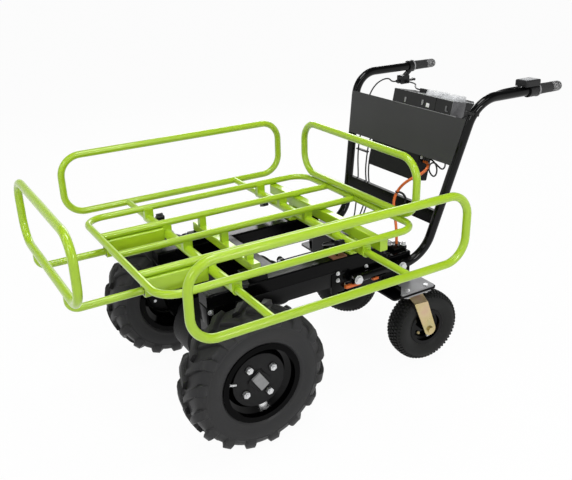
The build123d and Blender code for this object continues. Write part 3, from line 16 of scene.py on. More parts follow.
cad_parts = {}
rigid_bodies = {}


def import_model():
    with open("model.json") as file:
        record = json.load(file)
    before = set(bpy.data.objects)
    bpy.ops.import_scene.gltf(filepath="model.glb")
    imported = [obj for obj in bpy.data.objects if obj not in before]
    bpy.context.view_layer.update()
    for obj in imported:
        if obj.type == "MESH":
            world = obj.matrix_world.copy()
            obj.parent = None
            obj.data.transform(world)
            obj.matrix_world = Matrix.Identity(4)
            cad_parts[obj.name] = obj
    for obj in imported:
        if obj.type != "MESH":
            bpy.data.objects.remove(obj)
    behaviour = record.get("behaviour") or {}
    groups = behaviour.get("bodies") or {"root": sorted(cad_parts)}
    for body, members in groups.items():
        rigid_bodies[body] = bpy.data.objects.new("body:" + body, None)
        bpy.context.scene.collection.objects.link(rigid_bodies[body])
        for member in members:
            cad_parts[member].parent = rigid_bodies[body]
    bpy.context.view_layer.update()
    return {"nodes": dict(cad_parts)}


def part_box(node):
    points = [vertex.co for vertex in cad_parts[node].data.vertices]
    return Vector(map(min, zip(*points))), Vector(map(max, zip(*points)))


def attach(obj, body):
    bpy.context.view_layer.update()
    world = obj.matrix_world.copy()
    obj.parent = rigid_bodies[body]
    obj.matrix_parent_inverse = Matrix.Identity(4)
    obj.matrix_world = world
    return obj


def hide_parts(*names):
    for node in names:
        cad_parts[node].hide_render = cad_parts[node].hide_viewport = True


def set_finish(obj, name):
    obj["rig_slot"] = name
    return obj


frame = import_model()
nodes = frame["nodes"]
bpy.context.scene.view_settings.view_transform = "Standard"

# %% [markdown]
# ## Camera
# The photograph was taken from the front left and from above the deck. A camera is three
# directions and a place, so its turn is written as the columns right, up and back.
# The lens is the one that puts the wheels, the deck and the handle on their own pixels.

# %% Camera at the photograph's place
camera_right = Vector((-0.85256702, 0.52205887, -0.02416631))
camera_down = Vector((0.22270259, 0.32108244, -0.92049423))
camera_ahead = Vector((-0.4727928, -0.79016492, -0.39000816))
camera_turn = Matrix((camera_right, -camera_down, -camera_ahead)).transposed()
camera_place = Matrix.Translation((1.0771, 1.7116, 1.2654))
lens_data = bpy.data.cameras.new("photo_camera")
lens_data.sensor_width = 36
lens_data.lens = 44.805
camera = bpy.data.objects.new("photo_camera", lens_data)
bpy.context.scene.collection.objects.link(camera)
camera.matrix_world = camera_place @ camera_turn.to_4x4()
bpy.context.scene.camera = camera
print("camera at", camera.matrix_world.translation)

# %% [markdown]
# ## Cables
# A cable is one smooth line with a round section. A spline of order 3 bends between the
# route's points the way a sheath bends, so each cable needs only its own few points.
# Every cable here starts and ends in a housing, a gland or a tube of the cart.

# %% A helper that lays a cable
def lay_cable(name, route, diameter):
    """A round cable on a smooth line through the region of its route points."""
    line = bpy.data.curves.new(name, "CURVE")
    line.dimensions = "3D"
    line.bevel_depth = 1.0
    line.bevel_resolution = 4
    line.resolution_u = 10
    line.use_fill_caps = True
    spline = line.splines.new("NURBS")
    spline.points.add(len(route) - 1)
    for spot, point in zip(spline.points, route):
        spot.co = (*point, 1)
        spot.radius = diameter / 2
    spline.order_u = 3
    spline.use_endpoint_u = True
    piece = bpy.data.objects.new(name, line)
    bpy.context.scene.collection.objects.link(piece)
    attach(piece, "frame")
    return piece


def route_spots(piece):
    """Points along a cable's own line, read from the curve without its section."""
    bare = piece.copy()
    bare.data = piece.data.copy()
    bare.data.bevel_depth = 0
    mesh = bpy.data.meshes.new_from_object(bare)
    spots = [vertex.co.copy() for vertex in mesh.vertices]
    bpy.data.meshes.remove(mesh)
    bpy.data.objects.remove(bare)
    return spots


def route_length(piece):
    """Length of a cable along its own line."""
    spots = route_spots(piece)
    return sum((after - before).length for before, after in zip(spots, spots[1:]))


# %% Brake cable from the hand lever to the drum
brake_route = [
    (-0.5915, -0.2790, 0.7850), (-0.5715, -0.2790, 0.7850), (-0.5560, -0.2750, 0.8000),
    (-0.5220, -0.2660, 0.8030), (-0.4770, -0.2500, 0.7940), (-0.4340, -0.2300, 0.7680),
    (-0.4060, -0.2120, 0.7180), (-0.3880, -0.2090, 0.6600), (-0.3800, -0.2160, 0.6040),
    (-0.3820, -0.2220, 0.5460), (-0.3840, -0.2200, 0.4900), (-0.3740, -0.2100, 0.4380),
    (-0.3540, -0.1920, 0.3930), (-0.3250, -0.1660, 0.3400), (-0.2910, -0.1660, 0.3400),
]
chassis_route = [
    (-0.1540, -0.0580, 0.3460), (-0.1280, -0.0580, 0.3460), (-0.1080, -0.0420, 0.3520),
    (-0.0920, -0.0120, 0.3640), (-0.0830, 0.0240, 0.3810), (-0.0780, 0.0620, 0.3980),
    (-0.0700, 0.0960, 0.4120), (-0.0540, 0.1173, 0.4197), (-0.0240, 0.1173, 0.4197),
]
lead_thick = 0.005
brake_hand_cable = lay_cable("brake_hand_cable", brake_route, lead_thick)
brake_chassis_cable = lay_cable("brake_chassis_cable", chassis_route, lead_thick)
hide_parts("brake_cable")
for piece, route in ((brake_hand_cable, brake_route), (brake_chassis_cable, chassis_route)):
    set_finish(piece, "cable_black")
    route_length(piece)
    print(piece.name, round(route_length(piece), 3))

# %% Leads from the grips and the controller
throttle_route = [
    (-0.5930, 0.2790, 0.8498), (-0.5570, 0.2790, 0.8498), (-0.5200, 0.2730, 0.8470),
    (-0.4880, 0.2620, 0.8360), (-0.4650, 0.2530, 0.8140), (-0.4460, 0.2420, 0.7880),
    (-0.4242, 0.2080, 0.7599), (-0.4197, 0.2080, 0.7384),
]
switch_route = [
    (-0.6308, -0.2597, 0.7815), (-0.6308, -0.2377, 0.7815), (-0.6120, -0.1980, 0.7840),
    (-0.5660, -0.1480, 0.7910), (-0.5170, -0.0920, 0.8030), (-0.4740, -0.0440, 0.8150),
    (-0.4463, -0.0050, 0.8170), (-0.4463, 0.0170, 0.8170),
]
loop_route = [
    (-0.3910, 0.1120, 0.6299), (-0.3910, 0.1300, 0.6299), (-0.3930, 0.1490, 0.6260),
    (-0.3940, 0.1620, 0.6110), (-0.3960, 0.1610, 0.5900), (-0.3980, 0.1480, 0.5750),
    (-0.4010, 0.1300, 0.5770), (-0.4050, 0.1140, 0.5900), (-0.4080, 0.1160, 0.6080),
    (-0.4090, 0.1340, 0.6170), (-0.4080, 0.1540, 0.6080), (-0.4050, 0.1740, 0.6035),
    (-0.3950, 0.1960, 0.6190), (-0.3793, 0.2114, 0.6422), (-0.3786, 0.2348, 0.6388),
]
signal_route = [
    (-0.3901, -0.1200, 0.6353), (-0.3901, -0.1360, 0.6353), (-0.3940, -0.1510, 0.6190),
    (-0.3900, -0.1560, 0.5970), (-0.3810, -0.1550, 0.5660), (-0.3730, -0.1500, 0.5160),
    (-0.3740, -0.1420, 0.4680), (-0.3760, -0.1480, 0.4300), (-0.3620, -0.1450, 0.3900),
    (-0.3250, -0.1340, 0.3400), (-0.2910, -0.1340, 0.3400),
]
outer_signal_route = [
    (-0.3934, -0.1200, 0.6509), (-0.3934, -0.1360, 0.6509), (-0.3940, -0.1670, 0.6350),
    (-0.3900, -0.1720, 0.6130), (-0.3810, -0.1710, 0.5660), (-0.3730, -0.1660, 0.5160),
    (-0.3740, -0.1580, 0.4680), (-0.3760, -0.1640, 0.4300), (-0.3620, -0.1610, 0.3900),
    (-0.3250, -0.1500, 0.3400), (-0.2910, -0.1500, 0.3400),
]
throttle_lead = lay_cable("throttle_lead", throttle_route, lead_thick)
switch_lead = lay_cable("switch_lead", switch_route, lead_thick)
loop_lead = lay_cable("loop_lead", loop_route, lead_thick)
signal_lead = lay_cable("signal_lead", signal_route, lead_thick)
outer_signal_lead = lay_cable("outer_signal_lead", outer_signal_route, lead_thick)
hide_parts("control_leads")
for piece, route in (
    (throttle_lead, throttle_route),
    (switch_lead, switch_route),
    (loop_lead, loop_route),
    (signal_lead, signal_route),
    (outer_signal_lead, outer_signal_route),
):
    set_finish(piece, "cable_black")
    route_length(piece)
    print(piece.name, round(route_length(piece), 3))

# %% Orange motor lead
supply_thick = 0.009
motor_route = [
    (-0.3847, 0.1120, 0.6190), (-0.3847, 0.1300, 0.6190), (-0.3720, 0.1480, 0.6120),
    (-0.3480, 0.1500, 0.5960), (-0.3240, 0.1250, 0.5770), (-0.3180, 0.0930, 0.5500),
    (-0.3120, 0.0730, 0.5190), (-0.3030, 0.0710, 0.4870), (-0.2900, 0.0970, 0.4560),
    (-0.2660, 0.1380, 0.4120), (-0.2660, 0.1380, 0.3780),
]
motor_lead = lay_cable("motor_supply_lead", motor_route, supply_thick)
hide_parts("motor_lead")
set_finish(motor_lead, "cable_orange")
route_length(motor_lead)
print(motor_lead.name, round(route_length(motor_lead), 3))

# %% [markdown]
# ## Shader maths
# A finish is a few numbers that change over the surface. Writing them as Python expressions
# keeps a finish readable, so one small class wraps a socket and turns + - * into Math nodes.
# A second class adds any other node by its type, and a finish is that class with a material.

# %% Shader values that add up in Python
class Shade:
    """A shader socket that takes part in Python arithmetic."""

    def __init__(self, graph, socket):
        self.graph = graph
        self.socket = socket

    def work(self, operation, first, second):
        """A Math node between two values."""
        return self.graph.node("ShaderNodeMath", {"operation": operation}, {0: first, 1: second})

    def __add__(self, other):
        return self.work("ADD", self, other)

    def __radd__(self, other):
        return self.work("ADD", other, self)

    def __sub__(self, other):
        return self.work("SUBTRACT", self, other)

    def __rsub__(self, other):
        return self.work("SUBTRACT", other, self)

    def __mul__(self, other):
        return self.work("MULTIPLY", self, other)

    def __rmul__(self, other):
        return self.work("MULTIPLY", other, self)


# %% A node tree that takes any node
class Graph:
    """A node tree, and a method that adds any node to it."""

    def __init__(self, tree):
        self.tree = tree

    def node(self, kind, settings=None, inputs=None, output=0):
        """Add a node, set its options, feed its inputs and hand back one output."""
        made = self.tree.nodes.new(kind)
        for name, value in (settings or {}).items():
            if name == "stops":
                self.set_stops(made.color_ramp, value)
            else:
                setattr(made, name, value)
        for name, value in (inputs or {}).items():
            self.feed(made.inputs[name], value)
        return Shade(self, made.outputs[output])

    def set_stops(self, ramp, stops):
        """Give a colour ramp its stops, each a position and a colour."""
        while len(ramp.elements) < len(stops):
            ramp.elements.new(1.0)
        for element, (position, colour) in zip(ramp.elements, stops):
            element.position = position
            element.color = colour

    def feed(self, socket, value):
        """Link a shader value to a socket, or write a plain value into it."""
        if isinstance(value, Shade):
            self.tree.links.new(value.socket, socket)
        else:
            socket.default_value = value


# %% A material with its surface shader
class Finish(Graph):
    """One material and the nodes that its surface shader takes."""

    def __init__(self, name):
        self.material = bpy.data.materials.new(name)
        self.material.use_nodes = True
        super().__init__(self.material.node_tree)
        self.shader = self.tree.nodes["Principled BSDF"]
        self.place = self.node("ShaderNodeTexCoord", output="Object")

    def set(self, inputs):
        """Feed inputs of the surface shader by name."""
        for name, value in inputs.items():
            self.feed(self.shader.inputs[name], value)

    def noise(self, scale, detail=3.0, rough=0.5):
        """A noise pattern that is fixed to the object."""
        return self.node("ShaderNodeTexNoise", {}, {
            "Vector": self.place, "Scale": scale, "Detail": detail, "Roughness": rough})

    def ramp(self, value, *stops):
        """A colour that runs through the stops as the value grows."""
        return self.node("ShaderNodeValToRGB", {"stops": stops}, {"Fac": value})

    def mask(self, value, low, high):
        """Zero below low, one above high, and a smooth step between."""
        return self.node("ShaderNodeMapRange", {"interpolation_type": "SMOOTHSTEP"}, {
            "Value": value, "From Min": low, "From Max": high})

    def mix(self, factor, first, second):
        """A blend of two colours, which a Mix node holds in its inputs 6 and 7 and its output 2."""
        return self.node("ShaderNodeMix", {"data_type": "RGBA"}, {0: factor, 6: first, 7: second}, 2)

    def bump(self, height, distance, strength):
        """Fine relief from a height value."""
        normal = self.node("ShaderNodeBump", {}, {
            "Strength": strength, "Distance": distance, "Height": height})
        self.feed(self.shader.inputs["Normal"], normal)


def rgba(red, green, blue):
    """An opaque colour."""
    return (red, green, blue, 1.0)


# %% [markdown]
# ## Finishes
# The deck is lime powder coat: a strong colour under a clear gloss, with a faint orange peel.
# The chassis is satin black powder coat, the wheels gloss black, the tyres dusty rubber.
# Each finish gets a colour and a roughness that drift a little, and most get a fine relief.
# In a white studio black paint mirrors the walls, so its specular level is kept low.

# %% Two kinds of finish that come back
def drift_finish(name, pattern, dark, light, rough, metal=0.0, specular=0.5):
    """Colour and roughness drift together with one noise.

    The pattern holds the noise's scale, detail and roughness, and rough holds the least
    roughness of the surface and how far it drifts.
    """
    finish = Finish(name)
    drift = finish.noise(*pattern)
    least, spread = rough
    finish.set({
        "Base Color": finish.mix(drift, rgba(*dark), rgba(*light)),
        "Metallic": metal,
        "Roughness": least + drift * spread,
        "Specular IOR Level": specular,
    })
    return finish


def grained_finish(name, pattern, grain, dark, light, rough, specular, relief):
    """The colour drifts with a broad noise, and a fine grain is in the roughness and the bump.

    The relief holds the distance and the strength of the bump.
    """
    finish = Finish(name)
    fine = finish.noise(*grain)
    least, spread = rough
    finish.set({
        "Base Color": finish.mix(finish.noise(*pattern), rgba(*dark), rgba(*light)),
        "Roughness": least + fine * spread,
        "Specular IOR Level": specular,
    })
    finish.bump(fine, *relief)
    return finish


# %% Lime powder coat
lime = Finish("lime_powder_coat")
drift = lime.noise(6.0, 3.0)
peel = lime.noise(420.0, 2.0)
scuffs = lime.mask(lime.noise(38.0, 8.0, 0.7), 0.66, 0.8)
body = lime.mix(drift, rgba(0.335, 0.53, 0.012), rgba(0.395, 0.59, 0.02))
lime.set({
    "Base Color": lime.mix(scuffs * 0.35, body, rgba(0.30, 0.50, 0.010)),
    "Roughness": 0.25 + drift * 0.08 + scuffs * 0.12,
    "Specular IOR Level": 0.4,
    "Coat Weight": 0.5,
    "Coat Roughness": 0.04,
})
lime.bump(peel, 0.0004, 0.25)
print(lime.material.name, len(lime.tree.nodes), "nodes")

# %% Black paints
satin = Finish("satin_black_powder_coat")
grain = satin.noise(700.0, 2.0)
dust = satin.mask(satin.noise(9.0, 6.0, 0.65), 0.5, 0.75)
satin.set({
    "Base Color": satin.mix(dust * 0.5, rgba(0.0012, 0.0012, 0.0014), rgba(0.005, 0.005, 0.005)),
    "Roughness": 0.15 + dust * 0.12 + grain * 0.03,
    "Specular IOR Level": 0.09,
})
satin.bump(grain, 0.0003, 0.2)

tube_black = drift_finish("gloss_black_tube_paint", (12.0, 4.0), (0.0010, 0.0010, 0.0012),
                          (0.003, 0.003, 0.003), (0.14, 0.08), specular=0.09)
tube_black.set({"Coat Weight": 0.25, "Coat Roughness": 0.04})

gloss = drift_finish("gloss_black_wheel_paint", (14.0, 4.0), (0.0008, 0.0008, 0.001),
                     (0.003, 0.003, 0.003), (0.08, 0.06), specular=0.16)
gloss.bump(gloss.noise(260.0, 2.0), 0.0003, 0.12)
print(satin.material.name, tube_black.material.name, gloss.material.name)

# %% Paint of the drive rims, matt on the disc and glossy on the barrel
axle_x = 0.338
axle_z = 0.203
disc_edge = (0.0740, 0.0785)
lip_edge = (0.0975, 0.0982)
rim_black = Finish("drive_rim_paint")
from_axle = rim_black.node("ShaderNodeVectorMath", {"operation": "MULTIPLY_ADD"}, {
    0: rim_black.place, 1: (1, 0, 1), 2: (-axle_x, 0, -axle_z)})
axle_gap = rim_black.node("ShaderNodeVectorMath", {"operation": "LENGTH"}, {0: from_axle}, 1)
barrel = rim_black.mask(axle_gap, *disc_edge)
lip = rim_black.mask(axle_gap, *lip_edge)
matt = rim_black.noise(60.0, 5.0, 0.6)
disc = rim_black.mix(matt, rgba(0.017, 0.017, 0.0175), rgba(0.026, 0.026, 0.0265))
rim_black.set({
    "Base Color": rim_black.mix(barrel, disc, rgba(0.0008, 0.0008, 0.001)),
    "Roughness": 0.46 - barrel * 0.38 + matt * 0.05,
    "Specular IOR Level": 0.05,
    "Coat Weight": 0.24 * (barrel - lip),
    "Coat Roughness": 0.05,
})
print(rim_black.material.name, len(rim_black.tree.nodes), "nodes")

# %% Paint of the motor and the castings
shell = grained_finish("motor_shell_paint", (11.0,), (500.0, 2.0), (0.0025, 0.0025, 0.003),
                       (0.008, 0.008, 0.0085), (0.30, 0.1), 0.15, (0.0004, 0.3))

case = Finish("painted_casting")
sand = case.noise(240.0, 6.0, 0.7)
case.set({
    "Base Color": case.mix(sand, rgba(0.003, 0.003, 0.0035), rgba(0.009, 0.009, 0.0095)),
    "Roughness": 0.42 + sand * 0.18,
    "Specular IOR Level": 0.15,
})
case.bump(sand, 0.0011, 0.5)
print(shell.material.name, case.material.name)

# %% Rubber
def tyre_finish(name, fresh, dusty, sheen):
    """Matt rubber that goes from a fresh to a dusty colour in patches."""
    finish = Finish(name)
    bloom = finish.mask(finish.noise(13.0, 7.0, 0.62), 0.42, 0.75)
    finish.set({
        "Base Color": finish.mix(bloom * 0.6, fresh, dusty),
        "Roughness": 0.46 + bloom * 0.2,
        "Specular IOR Level": sheen,
    })
    finish.bump(finish.noise(520.0, 3.0, 0.6), 0.0006, 0.3)
    return finish


rubber = tyre_finish("tyre_rubber", rgba(0.016, 0.016, 0.017), rgba(0.030, 0.029, 0.028), 0.32)
caster_rubber = tyre_finish("caster_rubber", rgba(0.009, 0.0095, 0.009), rgba(0.019, 0.019, 0.018), 0.2)

soft = grained_finish("grip_rubber", (30.0,), (900.0, 2.0), (0.020, 0.020, 0.0205),
                      (0.032, 0.032, 0.0325), (0.5, 0.2), 0.3, (0.0004, 0.4))
print(rubber.material.name, caster_rubber.material.name, soft.material.name)

# %% Plastics
moulded = grained_finish("grained_black_plastic", (17.0,), (1100.0, 2.0, 0.6), (0.006, 0.006, 0.0065),
                         (0.013, 0.013, 0.0135), (0.36, 0.16), 0.3, (0.0004, 0.3))

knob = grained_finish("knob_plastic", (40.0,), (800.0, 2.0), (0.006, 0.006, 0.0065),
                      (0.012, 0.012, 0.0125), (0.28, 0.12), 0.3, (0.0003, 0.3))

nylon = drift_finish("bush_nylon", (60.0,), (0.012, 0.012, 0.012),
                     (0.024, 0.024, 0.023), (0.45, 0.1))

clear = Finish("clear_moulded_plastic")
haze = clear.noise(45.0, 3.0)
clear.set({
    "Base Color": clear.mix(haze, rgba(0.86, 0.88, 0.90), rgba(0.93, 0.94, 0.95)),
    "Roughness": 0.06 + haze * 0.08,
    "Alpha": 0.30 + haze * 0.12,
})
print(moulded.material.name, knob.material.name, nylon.material.name, clear.material.name)

# %% Plated and turned metal
passivate = Finish("yellow_zinc_plate")
cloud = passivate.noise(17.0, 2.0)
passivate.set({
    "Base Color": passivate.ramp(
        cloud,
        (0.30, rgba(0.48, 0.46, 0.25)),
        (0.45, rgba(0.57, 0.47, 0.23)),
        (0.58, rgba(0.62, 0.49, 0.29)),
        (0.72, rgba(0.60, 0.41, 0.29)),
    ),
    "Metallic": 0.95,
    "Roughness": 0.20 + cloud * 0.16,
})
passivate.bump(passivate.noise(180.0, 3.0), 0.0003, 0.2)

zinc = drift_finish("bright_zinc_plate", (90.0, 4.0), (0.62, 0.63, 0.65),
                    (0.76, 0.76, 0.76), (0.22, 0.18), metal=0.7)

turned = Finish("turned_steel")
lathe = turned.node("ShaderNodeTexWave", {"bands_direction": "Y"}, {
    "Vector": turned.place, "Scale": 420.0, "Distortion": 0.6, "Detail": 2.0})
turned.set({
    "Base Color": turned.mix(lathe, rgba(0.30, 0.30, 0.31), rgba(0.38, 0.38, 0.38)),
    "Metallic": 1.0,
    "Roughness": 0.30 + lathe * 0.1,
})
turned.bump(lathe, 0.0001, 0.3)

anodised = drift_finish("black_anodised_alloy", (300.0, 3.0), (0.010, 0.010, 0.0105),
                        (0.020, 0.020, 0.0205), (0.32, 0.1), metal=0.4, specular=0.3)
print(passivate.material.name, zinc.material.name, turned.material.name, anodised.material.name)

# %% Cable sheaths
sheath = drift_finish("black_cable_sheath", (70.0, 3.0), (0.005, 0.005, 0.0055),
                      (0.012, 0.012, 0.0125), (0.34, 0.14), specular=0.3)

orange = drift_finish("orange_cable_sheath", (60.0, 3.0), (0.62, 0.11, 0.016),
                      (0.74, 0.17, 0.03), (0.36, 0.12))
print(sheath.material.name, orange.material.name)

# %% Every node and cable takes the finish of its slot
finishes = {
    "green_paint": lime,
    "black_paint": satin,
    "wheel_paint": gloss,
    "motor_shell": shell,
    "cast_case": case,
    "tread_rubber": rubber,
    "grip_rubber": soft,
    "black_plastic": moulded,
    "knob_plastic": knob,
    "bush_nylon": nylon,
    "clear_plastic": clear,
    "yellow_zinc": passivate,
    "bright_zinc": zinc,
    "turned_steel": turned,
    "lever_alloy": anodised,
    "cable_black": sheath,
    "cable_orange": orange,
}
for node in nodes.values():
    for holder in node.material_slots:
        slot_name = holder.material.name.split(".")[0]
        holder.material = finishes[slot_name].material
own_finish = {
    "rim_left": rim_black,
    "rim_right": rim_black,
    "hub_shaft_left": case,
    "hub_shaft_right": case,
    "handle_left": tube_black,
    "handle_right": tube_black,
}
for name, finish in own_finish.items():
    nodes[name].material_slots[0].material = finish.material
for piece in bpy.context.scene.objects:
    if "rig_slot" in piece and piece.type == "CURVE":
        piece.data.materials.append(finishes[piece["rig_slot"]].material)
print("finishes", sorted(finishes), "and own ones on", sorted(own_finish))

# %% [markdown]
# ## Modelling helpers
# A piece is modelled as by hand: a primitive is added, opened in edit mode, and shaped with
# extrude, spin, inset and bevel. These few helpers select what the next operator works on
# and close a finished piece with its shading, its finish and the body that carries it.

# %% Helpers for edit mode
facing_up = 0.9
merge_gap = 0.00002


def close_edit():
    """Go back to object mode."""
    if bpy.context.mode != "OBJECT":
        bpy.ops.object.mode_set(mode="OBJECT")


def open_edit():
    """Open the active object in edit mode, all of it selected."""
    bpy.ops.object.mode_set(mode="EDIT")
    bpy.ops.mesh.select_mode(type="VERT")
    bpy.ops.mesh.select_all(action="SELECT")


def start_from(name, add, **settings):
    """Add a primitive as a new object and open it in edit mode."""
    close_edit()
    bpy.ops.object.select_all(action="DESELECT")
    add(**settings)
    piece = bpy.context.object
    piece.name = name
    piece.data.name = name
    bpy.ops.object.transform_apply(location=True, rotation=True, scale=True)
    open_edit()
    return piece


def pick_faces(piece, test):
    """Select the faces whose middle and normal pass a test."""
    bpy.ops.mesh.select_mode(type="FACE")
    bpy.ops.mesh.select_all(action="DESELECT")
    shape = bmesh.from_edit_mesh(piece.data)
    shape.normal_update()
    for face in shape.faces:
        face.select_set(test(face.calc_center_median(), face.normal))
    bmesh.update_edit_mesh(piece.data)


def close_up():
    """Merge what meets and turn every face outwards."""
    bpy.ops.mesh.select_all(action="SELECT")
    bpy.ops.mesh.remove_doubles(threshold=merge_gap)
    bpy.ops.mesh.normals_make_consistent(inside=False)


# %% Helpers that place and finish a piece
def put(piece, place):
    """Leave edit mode and move the piece by a matrix."""
    close_edit()
    piece.data.transform(place)
    return piece


def pick_object(piece):
    """Leave edit mode, select one object and make it the active one."""
    close_edit()
    bpy.ops.object.select_all(action="DESELECT")
    piece.select_set(True)
    bpy.context.view_layer.objects.active = piece


def settle(piece, body, finish, slot=None, sharp=40):
    """Smooth the round faces of a piece, and give it its finish and its body."""
    pick_object(piece)
    bpy.ops.object.shade_smooth_by_angle(angle=radians(sharp))
    piece.data.materials.clear()
    piece.data.materials.append(finish.material)
    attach(piece, body)
    if slot:
        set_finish(piece, slot)
    return piece


def copy_of(piece, name, place, body):
    """A copy with its own mesh, moved by a matrix, on another body."""
    twin = piece.copy()
    twin.data = piece.data.copy()
    twin.name = name
    twin.data.name = name
    twin.data.transform(place)
    if place.determinant() < 0:
        twin.data.flip_normals()
    bpy.context.scene.collection.objects.link(twin)
    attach(twin, body)
    return twin


def join_into(piece, others):
    """Join loose meshes into one piece."""
    pick_object(piece)
    for other in others:
        other.select_set(True)
    bpy.ops.object.join()


# %% Helpers that draw, spin and loft
def draw_line(name, points):
    """An open line of edges, drawn by extruding one vertex from point to point."""
    piece = start_from(name, bpy.ops.mesh.primitive_plane_add, size=0.001)
    bpy.ops.mesh.merge(type="CENTER")
    bpy.ops.transform.translate(value=points[0])
    for here, there in zip(points, points[1:]):
        step = Vector(there) - Vector(here)
        bpy.ops.mesh.extrude_vertices_move(TRANSFORM_OT_translate={"value": step})
    return piece


def spin_round(steps, axis=(0, 1, 0)):
    """Turn the selected line all the way round an axle and close the seam."""
    bpy.ops.mesh.select_all(action="SELECT")
    bpy.ops.mesh.spin(steps=steps, angle=2 * pi, center=(0, 0, 0), axis=axis)
    close_up()


def repeat_round(count):
    """Copy what is selected into a ring of that many round the axle."""
    bpy.ops.mesh.spin(steps=count - 1, dupli=True, angle=2 * pi - 2 * pi / count,
                      center=(0, 0, 0), axis=(0, 1, 0))


def loft(name, rings):
    """A bar that is extruded ring by ring, with the corners moved at every station."""
    piece = start_from(name, bpy.ops.mesh.primitive_circle_add,
                       vertices=len(rings[0]), radius=0.01, fill_type="NGON")
    shape = bmesh.from_edit_mesh(piece.data)
    shape.faces.ensure_lookup_table()
    for corner, spot in zip(shape.faces[0].verts, rings[0]):
        corner.co = spot
    bmesh.update_edit_mesh(piece.data)
    for before, after in zip(rings, rings[1:]):
        bpy.ops.mesh.extrude_region_move()
        shape = bmesh.from_edit_mesh(piece.data)
        for corner in [vertex for vertex in shape.verts if vertex.select]:
            nearest = min(range(len(before)), key=lambda spot: (before[spot] - corner.co).length)
            corner.co = after[nearest]
        bmesh.update_edit_mesh(piece.data)
    close_up()
    return piece


def middle_of(node):
    """The middle of a node's box."""
    low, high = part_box(node)
    return (Vector(low) + Vector(high)) / 2


# %% [markdown]
# ## Drive tyres
# Small pneumatic tractor tyres: a smooth bulged sidewall with a rim-guard ring, and bars that
# run from the middle of the tread back over the shoulder, left and right half a pitch apart.
# The carcass is a section that is spun round the axle. One bar is extruded along the
# shoulder, spun into sixteen copies, mirrored for the other side, and joined to the carcass.

# %% Carcass of the drive tyre
mm = 0.001
half_wall = [
    (49.2, 101.9), (49.7, 104), (49.7, 114.5), (51.5, 117.5), (54.6, 120.5), (55.6, 123.5),
    (55.4, 126.5), (56, 129), (57.6, 136), (58.9, 144), (59.4, 150.5), (59.2, 157), (58.7, 160),
    (59.3, 161.2), (59.2, 163.8), (58.3, 165), (56.6, 171), (54, 177), (50, 182), (44, 185.2),
    (34, 188), (20, 190.2),
]
half_lining = [(20, 181), (41, 173), (47, 166), (50.4, 150), (50, 135), (44, 116), (38.7, 101.9)]


def both_sides(half, top):
    """A section from one side over the top to the other, in metres, as points on the y-z plane."""
    left = [(0, y * mm, r * mm) for y, r in half]
    right = [(0, -y * mm, r * mm) for y, r in reversed(half)]
    return left + [(0, 0, top * mm)] + right


outer_wall = both_sides(half_wall, 191)
lining = both_sides(list(reversed(half_lining)), 182)
section = outer_wall + list(reversed(lining)) + outer_wall[:1]
drive_tyre = draw_line("drive_tyre_left", section)
spin_round(80)
print(drive_tyre.name, "carcass faces", len(bmesh.from_edit_mesh(drive_tyre.data).faces))

# %% One bar of the tread
bar_path = [
    # y, r, lean outwards, sweep back, half width of the crown, depth
    (1.0, 202.6, 0, 2, 7.0, 14),
    (16, 202.8, 2, -14, 8.5, 15),
    (31, 201.8, 6, -29, 10.5, 16),
    (43, 199.2, 18, -40, 12.0, 17),
    (52, 193.5, 42, -46, 13.0, 16),
    (57.4, 185.0, 62, -49, 13.5, 13),
    (60.0, 174.5, 80, -50.5, 13.5, 10),
    (60.0, 165.5, 90, -51, 12.5, 8),
    (57.0, 159.5, 96, -51, 10.5, 6),
]
tread_radius = 198
flank = 6
flank_steps = ((1.0, 1.0), (0.62, 0.52), (0.34, 0.16), (0, 0))


def bar_ring(y, r, lean, sweep, crown, depth):
    """Corners of the bar's section at one station, from foot over the crown to foot."""
    out = Vector((0, sin(radians(lean)), cos(radians(lean))))
    along = Vector((1, 0, 0))
    top = Vector((0, y, r))
    turn = Matrix.Rotation(sweep / tread_radius, 3, "Y")
    corners = []
    for side, steps in ((-1, flank_steps), (1, flank_steps[::-1])):
        for across, down in steps:
            corners.append(top + along * (side * (across * flank + crown)) - out * (down * depth))
    return [turn @ corner * mm for corner in corners]


bars_per_side = 16
pitch = 2 * pi / bars_per_side
bar = loft("tread_bar", [bar_ring(*station) for station in bar_path])
repeat_round(bars_per_side)
close_edit()
mirror = Matrix.Scale(-1, 4, (0, 1, 0))
far_bars = copy_of(bar, "tread_bar_far", Matrix.Rotation(pitch / 2, 4, "Y") @ mirror, "frame")
join_into(drive_tyre, [bar, far_bars])
print(drive_tyre.name, "with bars", len(drive_tyre.data.polygons))

# %% Both drive tyres in their places
left_hub = middle_of("tyre_left")
right_hub = middle_of("tyre_right")
drive_tyre.data.transform(Matrix.Translation(left_hub))
settle(drive_tyre, "drive_wheel_left", rubber, "tread_rubber", sharp=34)
to_right = Matrix.Translation(right_hub) @ mirror @ Matrix.Translation(-left_hub)
right_tyre = copy_of(drive_tyre, "drive_tyre_right", to_right, "drive_wheel_right")
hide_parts("tyre_left")
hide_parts("tyre_right")
print("tyres at", left_hub, right_hub)

# %% [markdown]
# ## Caster tyres
# The casters have small balloon tyres with rows of little blocks. Again the carcass is spun,
# and one bevelled block per row is spun into its ring. Neighbouring rows stand half a block
# apart, and the shoulder row leans out, which gives the toothed edge of the outline.

